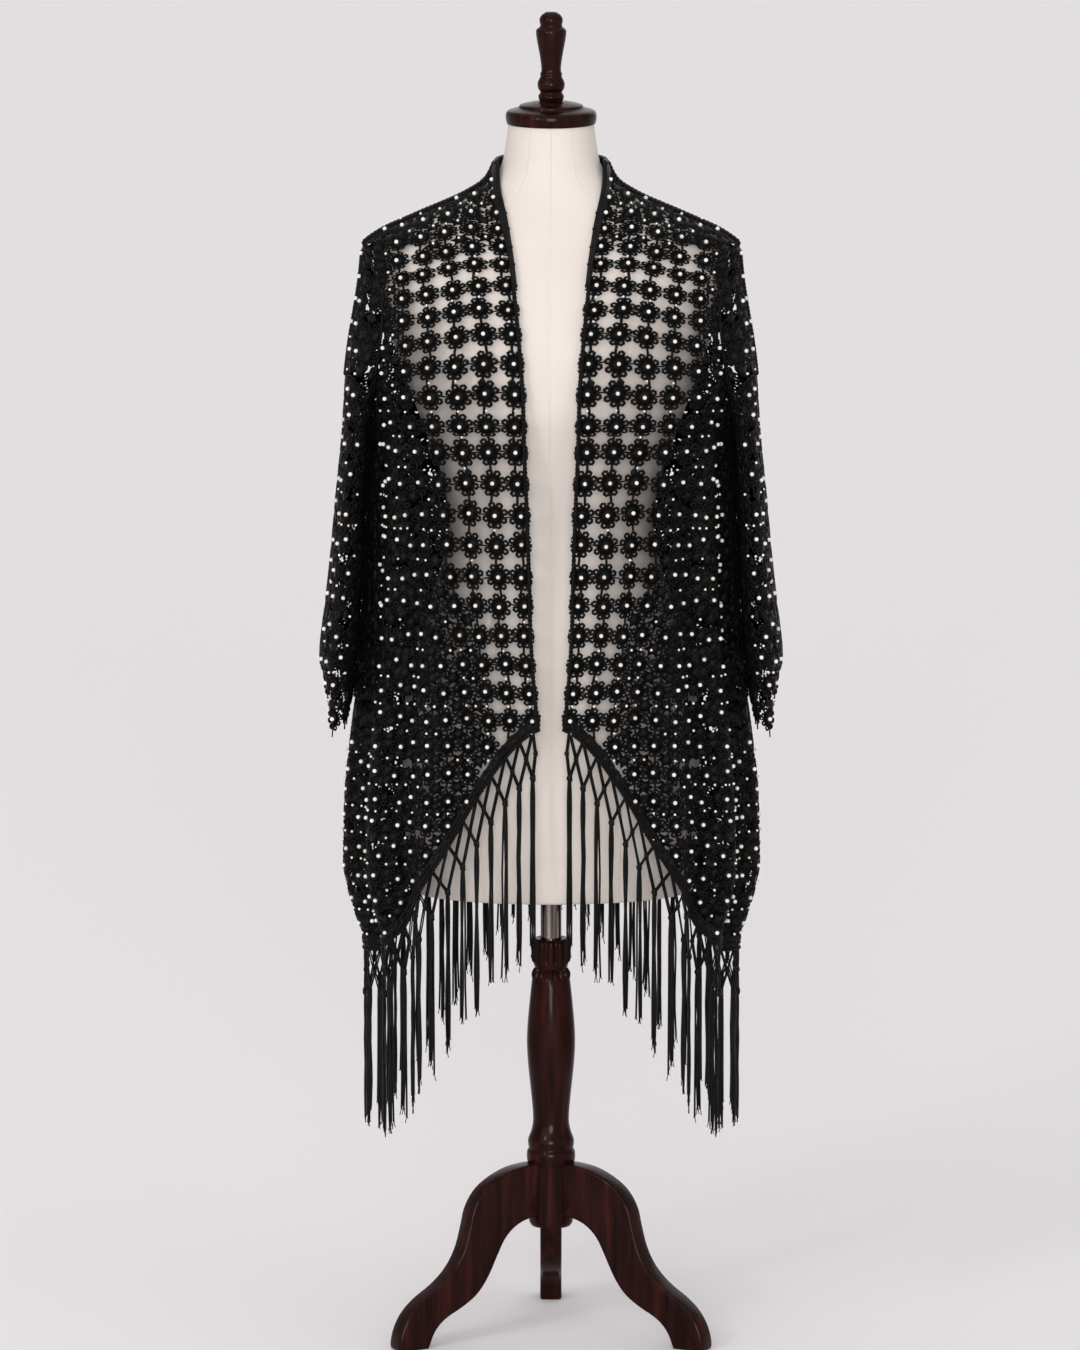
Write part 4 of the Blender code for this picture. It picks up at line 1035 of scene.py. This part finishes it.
class Hanging:
    """The net and tassels under a stretch of hem: column places along, drops down, a level way out."""

    def __init__(self, quarters):
        self.quarters = quarters
        self.columns = HEM_COLUMNS * len(quarters)
        self.places = np.linspace(0.0, self.columns, self.columns * 6 + 1)
        plan, out, hem = [], [], []
        for place in self.places:
            quarter, across = self.locate(place)
            height = float(quarter.lowest(np.array(across)))
            edge = height + STRIP_HEIGHT + CLEAR_OF_STRIP
            near = np.clip(np.array((across - 0.004, across, across + 0.004)), 0.0, 1.0)
            before, point, after = quarter.point(near, np.full(3, edge))
            along = after - before
            normal = np.array((along[1], -along[0], 0.0))
            normal *= np.sign(normal @ level_outward(point))
            plan.append(point + (0.0, AXIS_Y, 0.0))
            out.append(normal / np.linalg.norm(normal))
            hem.append(height)
        self.plan, self.out, self.hem = np.array(plan), np.array(out), np.array(hem)

    def locate(self, place):
        """The quarter at a place, and how far across it: 0 at its middle, 1 at the side seam."""
        if len(self.quarters) == 1:
            return self.quarters[0], min(place / HEM_COLUMNS, 1.0)
        quarter = self.quarters[0] if place < HEM_COLUMNS else self.quarters[1]
        return quarter, min(abs(place - HEM_COLUMNS) / HEM_COLUMNS, 1.0)

    def outward(self, place):
        return unit(along_table(place, self.places, self.out))

    def at(self, place, drop, lift=0.0, level=None):
        """Point at a drop below the hem's height, there or at another place."""
        place = np.asarray(place, float)
        hem = np.interp(place if level is None else level, self.places, self.hem)
        point = along_table(place, self.places, self.plan)
        point = point + self.outward(place) * (np.asarray(lift) - WALL / 2)[..., None]
        point[..., 2] = hem - drop
        return point

    def width(self, column):
        ends = self.at(np.array((column, column + 1.0)), 0.0)
        return float(np.linalg.norm((ends[1] - ends[0])[:2]))

    def strip(self, pile):
        """The hem border: a lumpy knotted band with twisted cords along it."""
        places = np.linspace(0.0, self.columns, self.columns * 8 + 1)
        lumps = 0.5 + 0.5 * np.cos(2 * math.pi * 1.5 * places + 1.4 * uneven(places, 1.3))
        shares = np.linspace(1.0, 0.0, 6)
        rows = []
        for lift_sign in (1, -1):
            for share in shares[:: lift_sign]:
                top, bottom = -STRIP_HEIGHT - STRIP_LUMPS * lumps, 0.0012 * (1 - lumps)
                drop = share * top + (1 - share) * bottom
                rib = 0.0005 * np.cos(places * math.pi * 4 + share * 6) + 0.0006 * lumps
                rows.append(self.at(places, drop, lift_sign * (0.0010 + rib)))
        points = np.stack(rows, axis=0)
        faces = grid(len(rows), len(places), wrap_rows=True)
        ends = []
        for column in (0, len(places) - 1):
            ring = [row * len(places) + column for row in range(len(rows))]
            fan = [(ring[0], ring[i], ring[i + 1]) for i in range(1, len(ring) - 1)]
            ends += fan if column else [face[::-1] for face in fan]
        pile.add(points.reshape(-1, 3), np.concatenate((faces, np.array(ends))))
        for drop in (-STRIP_HEIGHT - 0.0030 * lumps, -0.0005, -STRIP_HEIGHT / 2):
            rope(pile, self.at(places, drop, 0.0014), self.outward(places), HEM_CORD_RADIUS, HEM_CORD_TURN)
        for place in np.arange(0.3, self.columns - 0.2, HEM_KNOT_PITCH):
            size = 0.0036 + 0.0011 * uneven(place, 2.1)
            drop = -0.75 * STRIP_HEIGHT - 0.0016 * uneven(place, 3.7)
            self.knot(pile, place, drop, (size, size * 1.15))

    def cord(self, pile, places, drops, radius, lifts, level, sides, steps):
        """A cord through points given as column places, drops and lifts."""
        share = np.linspace(0.0, 1.0, steps + 1)
        at = np.linspace(0.0, 1.0, len(places))
        place, drop, lift = (np.interp(share, at, values) for values in (places, drops, lifts))
        path = self.at(place, drop, lift, level)
        pile.add(*tube(path, radius, sides, self.outward(place)))

    def knot(self, pile, place, drop, size):
        points, faces = ball(2)
        out = self.outward(place)
        sideways = np.cross(out, (0.0, 0.0, 1.0))
        lumps = 1 + 0.10 * np.sin(9 * points[:, :1] + 7 * points[:, 2:])
        laid = points[:, :1] * sideways * size[0] + points[:, 1:2] * out * size[0] * 0.8
        laid = laid + points[:, 2:] * np.array((0.0, 0.0, size[1]))
        pile.add(self.at(place, drop) + laid * lumps, faces)

    def bar(self, pile, start, end, drops):
        """Two threads of the net side by side, from one place and drop to another."""
        heads, feet = (self.at(np.array(place), drop) for place, drop in zip((start, end), drops))
        out = self.outward((start + end) / 2)
        share = np.linspace(0.0, 1.0, 5)[:, None]
        path = heads + (feet - heads) * share
        apart = unit(np.cross(feet - heads, out)) * NET_CORD_RADIUS * 0.8
        bow = np.sin(math.pi * share) * 0.0006
        for side in (-1, 1):
            pile.add(*tube(path + apart * side + out * bow * side, NET_CORD_RADIUS, 4, out))

    def tassel(self, pile, column):
        """A knot with its hanging cords, whose ends are frayed and uneven."""
        middle = column + 0.5
        width = self.width(column)
        self.knot(pile, middle, SECOND_KNOT_DROP, SECOND_KNOT_SIZE)
        across = self.locate(middle)[1]
        length = TASSEL_LENGTH_FRONT + (TASSEL_LENGTH_SIDE - TASSEL_LENGTH_FRONT) * across
        for cord in range(CORDS):
            key = 4.0 * column + cord + 31.0 * len(self.quarters)
            spread = (cord - (CORDS - 1) / 2) * CORD_PITCH
            sway = CORD_SWAY * float(uneven(key, 2.9))
            end = length - 0.004 + END_UNEVENNESS * float(uneven(key, 5.3))
            offsets = np.array((spread * 0.5, spread, spread + sway, spread * 1.2, spread * 1.3 + sway))
            drops = SECOND_KNOT_DROP + (end - SECOND_KNOT_DROP) * np.array((0.0, 0.12, 0.4, 0.75, 1.0))
            lifts = np.array((0.0, 0.0006, -0.0006, 0.0006, 0.0)) * (1 if cord % 2 else -1)
            self.cord(pile, middle + offsets / width, drops, CORD_RADIUS, lifts, middle, 5, 10)
            for hair in (-1, 1):
                reach = end + 0.005 + 0.004 * float(uneven(key + 0.5 * hair, 7.7))
                place = middle + (offsets[-1] + np.array((0.0, 0.0009, 0.0016)) * hair) / width
                tips = np.array((end - 0.002, (end + reach) / 2, reach))
                self.cord(pile, place, tips, HAIR_RADIUS, np.zeros(3), middle, 3, 3)

    def net(self, pile):
        """Two rows of slanting threads, knotted together where they meet."""
        knots = [END_INSET, *range(1, self.columns), self.columns - END_INSET]
        for place in knots:
            self.knot(pile, place, FIRST_KNOT_DROP, FIRST_KNOT_SIZE)
        for column in range(self.columns):
            middle = column + 0.5
            for knot in (knots[column], knots[column + 1]):
                self.bar(pile, middle, knot, (-0.002, FIRST_KNOT_DROP))
                self.bar(pile, knot, middle, (FIRST_KNOT_DROP, SECOND_KNOT_DROP))


def fringe_piece(name, quarters, materials):
    stretch = Hanging(quarters)
    pile = Pile()
    stretch.strip(pile)
    stretch.net(pile)
    for column in range(stretch.columns):
        stretch.tassel(pile, column)
    made = pile.piece("net_" + name, materials.cord, "form")
    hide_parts(name)


def edge_path(fronts, backs):
    """The cloth's free edge with its outward direction: up one front, round the neck, down the other."""
    points, normals = [], []
    for side, order in ((1, 1), (-1, -1)):
        front, back = fronts[side], backs[side]
        bottom = float(front.lowest(np.array(0.0), np.array(0.8)))
        levels = np.linspace(bottom, TOP_ROW, 140)
        run = [(front, 0.004, level) for level in levels]
        run += [(front, front.width(TOP_ROW) * share, TOP_ROW - 0.004) for share in (0.3, 0.55, 0.8)]
        run += [(back, back.width(TOP_ROW) * share, TOP_ROW - 0.004) for share in (0.95, 0.7, 0.45, 0.2)]
        if side == 1:
            run.append((back, 0.0, TOP_ROW - 0.004))
        run = run[::order]
        points += [d.lay(np.array(along), np.array(level), 0.0012) for d, along, level in run]
        normals += [d.read(d.normals, np.array(along), np.array(level)) for d, along, level in run]
    return np.array(points), unit(np.array(normals))


def edging(fronts, backs, materials):
    """The twisted edge, its small knobs at the rows of flowers, and the plain band at the neck."""
    pile = Pile()
    points, normals = edge_path(fronts, backs)
    rope(pile, points, normals, EDGE_CORD_RADIUS, EDGE_TURN)
    for side, front in fronts.items():
        lattice = Lattice(front, *FRONT_COLUMNS)
        rows = np.arange(math.ceil(lattice.rows[0]) + 2, math.floor(lattice.rows[-1]))
        _, levels = lattice.spot(np.zeros(len(rows)), rows)
        levels = levels[levels > front.lowest(np.zeros(len(levels)), levels) + 0.004]
        add_balls(pile, front.lay(np.full(len(levels), 0.0015), levels, 0.001), KNOB_RADIUS)
    for side, front in fronts.items():
        neck_band(pile, front, backs[side])
    made = pile.piece("front_edging", materials.cord, "form")
    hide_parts("front_band")


def neck_band(pile, front, back):
    """The plain band of one side: it narrows down the front, and turns round the neck at the top."""
    full = float(table_value(NECK_BAND_WIDTHS, np.array(TOP_ROW), 1))
    shares = np.linspace(0.0, 1.0, 5)
    rows = []
    for level in np.linspace(1.235, TOP_ROW, 30):
        width = float(table_value(NECK_BAND_WIDTHS, np.array(level), 1))
        rows.append((front, shares * width, np.minimum(level, TOP_ROW - shares * full)))
    for drape, round_neck in ((front, np.linspace(0.35, 0.98, 6)), (back, np.linspace(0.98, 0.0, 9))):
        for share in round_neck:
            along = np.maximum(share * drape.width(TOP_ROW), shares * full * (drape is front))
            rows.append((drape, along, TOP_ROW - shares * full))
    outer, inner = (
        np.array([drape.lay(along, height, lift) for drape, along, height in rows])
        for lift in (0.0024, -0.0004)
    )
    closed = np.concatenate((outer, inner[:, ::-1]), axis=1)
    pile.add(closed.reshape(-1, 3), closed_grid(*closed.shape[:2]))


def sewn_cord(pile, drape, inset, height, lift, radius, turn):
    """A twisted cord along a drape, at an inset for each height."""
    rope(pile, drape.lay(inset, height, lift), drape.read(drape.normals, inset, height), radius, turn)


def seam_cords(fronts, backs, sleeves, materials):
    """Double cords along the shoulders, single ones down the sides and round the armholes."""
    pile = Pile()
    for side, front in fronts.items():
        shoulder = np.linspace(TOP_ROW - 0.004, 1.270, 40)
        for drape in (front, backs[side]):
            inset = drape.width(shoulder) - 0.0035
            sewn_cord(pile, drape, inset, shoulder, 0.0012, SHOULDER_CORD_RADIUS, 0.010)
        down = np.linspace(1.060, HEM_SIDE + STRIP_HEIGHT, 60)
        sewn_cord(pile, front, front.width(down) - 0.001, down, 0.0, SEAM_CORD_RADIUS, 0.007)
        under = np.linspace(1.060, CUFF_INNER + 0.004, 60)
        path = sleeves[side][0].lay(sleeves[side][0].width(under), under, UNDERARM_LIFT)
        forwards = np.broadcast_to((0.0, -1.0, 0.0), path.shape)
        rope(pile, path, forwards, SEAM_CORD_RADIUS, 0.008)
        for half in sleeves[side]:
            level = np.linspace(SLEEVE_TOP - 0.002, 1.068, 50)
            sewn_cord(pile, half, half.width(level) - 0.0015, level, 0.0006, SEAM_CORD_RADIUS, 0.007)
            level = np.linspace(SLEEVE_TOP - 0.004, 1.12, 36)
            inset = np.full(len(level), 0.0030)
            sewn_cord(pile, half, inset, level, 0.0010, SLEEVE_HEAD_CORD_RADIUS, 0.009)
    pile.piece("seam_cords", materials.cord, "form")


def lathe(profile, sides, swell=None):
    """A turned shape from radii and heights, top to bottom, closed at both ends."""
    angles = 2 * math.pi * np.arange(sides) / sides
    points = []
    for radius, height in profile:
        reach = radius if swell is None else radius + swell(angles, height)
        x, y = reach * np.sin(angles), -reach * np.cos(angles)
        points.append(np.stack((x, y + AXIS_Y, np.full(sides, height)), axis=-1))
    return np.concatenate(points), closed_grid(len(profile), sides)


def softened(profile, rounds=2):
    """A profile with its corners rounded off."""
    line = np.array(profile)
    for _ in range(rounds):
        first, second = line[:-1], line[1:]
        cut = np.stack((first * 0.75 + second * 0.25, first * 0.25 + second * 0.75), axis=1)
        line = np.concatenate((line[:1], cut.reshape(-1, 2), line[-1:]))
    return line


def collar_swell(angles, height):
    """Carved flutes round the column's collar, with a row of beads below them."""
    return sum(
        depth * np.cos(count * angles) * (bottom < height < top)
        for count, depth, bottom, top in COLLAR_CARVING
    )


def turned_pieces(materials):
    """The turned wood, and the steel tube between torso and column."""
    wood, steel = (materials.wood, "dark_wood"), (materials.steel, "steel")
    rows = (
        ("turned_finial", "finial", softened(FINIAL_PROFILE), 48, None, "form", wood),
        ("turned_neck_cap", "neck_cap", softened(CAP_PROFILE), 64, None, "form", wood),
        ("turned_column", "column", softened(COLUMN_PROFILE), 112, collar_swell, "stand", wood),
        ("steel_tube", "pole", POLE_PROFILE, 64, None, "pole", steel),
    )
    for name, node, profile, sides, swell, body, (finish, slot) in rows:
        pile = Pile()
        pile.add(*lathe(profile, sides, swell))
        made = pile.piece(name, finish, body, WOOD_SHARP_FROM)
        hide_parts(node)


def leg_pieces(materials):
    """Three sawn legs with rounded edges."""
    outline = np.concatenate((LEG_UPPER_EDGE[:1], softened(LEG_UPPER_EDGE[1:]), softened(LEG_LOWER_EDGE)))
    half = LEG_THICKNESS / 2
    for node, degrees in LEG_ANGLES.items():
        shape = bmesh.new()
        corners = [shape.verts.new((out, -half, max(height, 0.0))) for out, height in outline]
        pushed = bmesh.ops.extrude_face_region(shape, geom=[shape.faces.new(corners)])
        moved = [item for item in pushed["geom"] if isinstance(item, bmesh.types.BMVert)]
        bmesh.ops.translate(shape, vec=(0.0, 2 * half, 0.0), verts=moved)
        bmesh.ops.remove_doubles(shape, verts=shape.verts, dist=1e-5)
        bmesh.ops.recalc_face_normals(shape, faces=shape.faces)
        rims = [edge for edge in shape.edges if edge.calc_length() > 0 and is_rim(edge, half)]
        bmesh.ops.bevel(shape, geom=rims, offset=LEG_ROUNDING, segments=3, affect="EDGES", profile=0.5)
        turn = Matrix.Rotation(math.radians(degrees), 4, "Z")
        move = Matrix.Translation((0.0, AXIS_Y, 0.0))
        bmesh.ops.transform(shape, matrix=move @ turn, verts=shape.verts)
        mesh = bpy.data.meshes.new("carved_" + node)
        shape.to_mesh(mesh)
        shape.free()
        mesh.shade_smooth()
        mesh.set_sharp_from_angle(angle=math.radians(WOOD_SHARP_FROM))
        mesh.materials.append(materials.wood)
        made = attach(link_object("carved_" + node, mesh), "stand")
        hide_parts(node)


def is_rim(edge, half):
    """Whether an edge of a leg runs round one of its flat sides."""
    first, second = edge.verts
    return abs(first.co.y - second.co.y) < 1e-6 and abs(abs(first.co.y) - half) < 1e-6


def dress_form(materials):
    """The jersey torso with its seams as fine grooves."""
    angles = list(2 * math.pi * (np.arange(FORM_SIDES) + 0.5) / FORM_SIDES)
    for seam in FORM_SEAMS:
        angles += [seam - GROOVE_HALF_WIDTH, seam, seam + GROOVE_HALF_WIDTH]
    angles = np.array(sorted(angle % (2 * math.pi) for angle in angles))
    seams = np.min(np.abs(np.array(FORM_SEAMS)[:, None] - angles[None, :]), axis=0) < 0.002
    top, bottom = TORSO_SECTIONS[0][HEIGHT], TORSO_SECTIONS[-1][HEIGHT]
    heights = list(np.arange(bottom + 0.004, top, 0.010))
    heights += [NECK_SEAM - NECK_SEAM_HALF_WIDTH, NECK_SEAM, NECK_SEAM + NECK_SEAM_HALF_WIDTH, top]
    rings = []
    for height in sorted(heights, reverse=True):
        neck_groove = NECK_SEAM_DEPTH * (abs(height - NECK_SEAM) < 1e-6)
        inset = FORM_INSET + GROOVE_DEPTH * seams + neck_groove
        rings.append(form_ring(angles, height, height, inset))
    for share, drop in ((0.0015, 0.0012), (0.004, 0.0), (0.06, 0.0)):
        rings.append(form_ring(angles, bottom, bottom + drop, FORM_INSET + share))
    pile = Pile()
    pile.add(np.concatenate(rings), closed_grid(len(rings), len(angles)))
    made = pile.piece("jersey_form", materials.jersey, "form", FORM_SHARP_FROM)
    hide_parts("torso")


def form_ring(angles, height, level, inset):
    """A ring of the torso's section at one height, inset and laid at a level."""
    level_row = np.full(len(angles), height)
    width = table_value(TORSO_SECTIONS, level_row, HALF_WIDTH) - inset
    depth = section_depth(TORSO_SECTIONS, level_row, np.cos(angles) > 0) - inset
    x, y = np.sin(angles) * width, -np.cos(angles) * depth + AXIS_Y
    return np.stack((x, y, np.full(len(angles), level)), axis=-1)


def aimed(name, data, place, target):
    """A light or the camera at its place, turned to its target."""
    made = link_object(name, data)
    made.location = place
    made.rotation_euler = (Vector(target) - Vector(place)).to_track_quat("-Z", "Y").to_euler()
    return made


def add_lights():
    """Broad distant lights, the same over the whole floor, and one near one that shows in the polish."""
    for name, place, angle, strength, colour in SUNS:
        data = bpy.data.lights.new(name, "SUN")
        data.angle = math.radians(angle)
        data.energy = strength
        data.color = colour
        aimed(name, data, place, LIGHTS_AIM)
    data = bpy.data.lights.new("window", "AREA")
    data.size = WINDOW_SIZE
    data.energy = WINDOW_POWER
    aimed("window", data, WINDOW_PLACE, LIGHTS_AIM)
    world = bpy.data.worlds.new("soft_light")
    world.use_nodes = True
    set_inputs(world.node_tree.nodes["Background"], {"Color": WORLD_COLOUR, "Strength": WORLD_STRENGTH})
    bpy.context.scene.world = world


def add_stage(materials):
    """A pale floor under soft, even light, and the camera at the photograph's angle."""
    mesh = bpy.data.meshes.new("floor")
    reach = FLOOR_REACH
    corners = [(-reach, -reach, 0.0), (reach, -reach, 0.0), (reach, reach, 0.0), (-reach, reach, 0.0)]
    mesh.from_pydata(corners, [], [(0, 1, 2, 3)])
    mesh.materials.append(materials.floor)
    link_object("floor", mesh)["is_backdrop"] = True
    add_lights()
    elevation = math.radians(CAMERA_ELEVATION)
    target = Vector((CAMERA_AIM_X, AXIS_Y, CAMERA_AIM_Z))
    away = Vector((0.0, -math.cos(elevation), math.sin(elevation)))
    data = bpy.data.cameras.new("camera")
    data.lens = CAMERA_LENS
    data.clip_end = 200.0
    bpy.context.scene.camera = aimed("camera", data, target + away * CAMERA_DISTANCE, target)
    bpy.context.scene.view_settings.view_transform = "Standard"


def main():
    materials = Materials()
    fronts = {side: Drape(Quarter(FRONT, side), TOP_ROW, (0, -1, 0)) for side in (1, -1)}
    backs = {side: Drape(Quarter(BACK, side), TOP_ROW, (0, 1, 0)) for side in (1, -1)}
    sleeves = {
        side: [Drape(SleeveHalf(face, side), SLEEVE_TOP, (side, 0, 0)) for face in (FRONT, BACK)]
        for side in (1, -1)
    }
    for side, word in ((1, "left"), (-1, "right")):
        patches = [(fronts[side], *FRONT_COLUMNS, FIRST_COLUMN)]
        lace_piece("front_" + word, patches, materials)
        patches = [(half, *SLEEVE_COLUMNS, 0.5) for half in sleeves[side]]
        lace_piece("sleeve_" + word, patches, materials, is_sleeve=True)
        fringe_piece("fringe_" + word, [fronts[side].surface], materials)
    lace_piece("back", [(back, *BACK_COLUMNS, 0.5) for back in backs.values()], materials)
    fringe_piece("fringe_back", [back.surface for back in backs.values()], materials)
    edging(fronts, backs, materials)
    seam_cords(fronts, backs, sleeves, materials)
    dress_form(materials)
    turned_pieces(materials)
    leg_pieces(materials)
    add_stage(materials)


main()

boxes = {"cad": cad_box, "visual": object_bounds()}
{name: [list(corner) for corner in box] for name, box in boxes.items()}
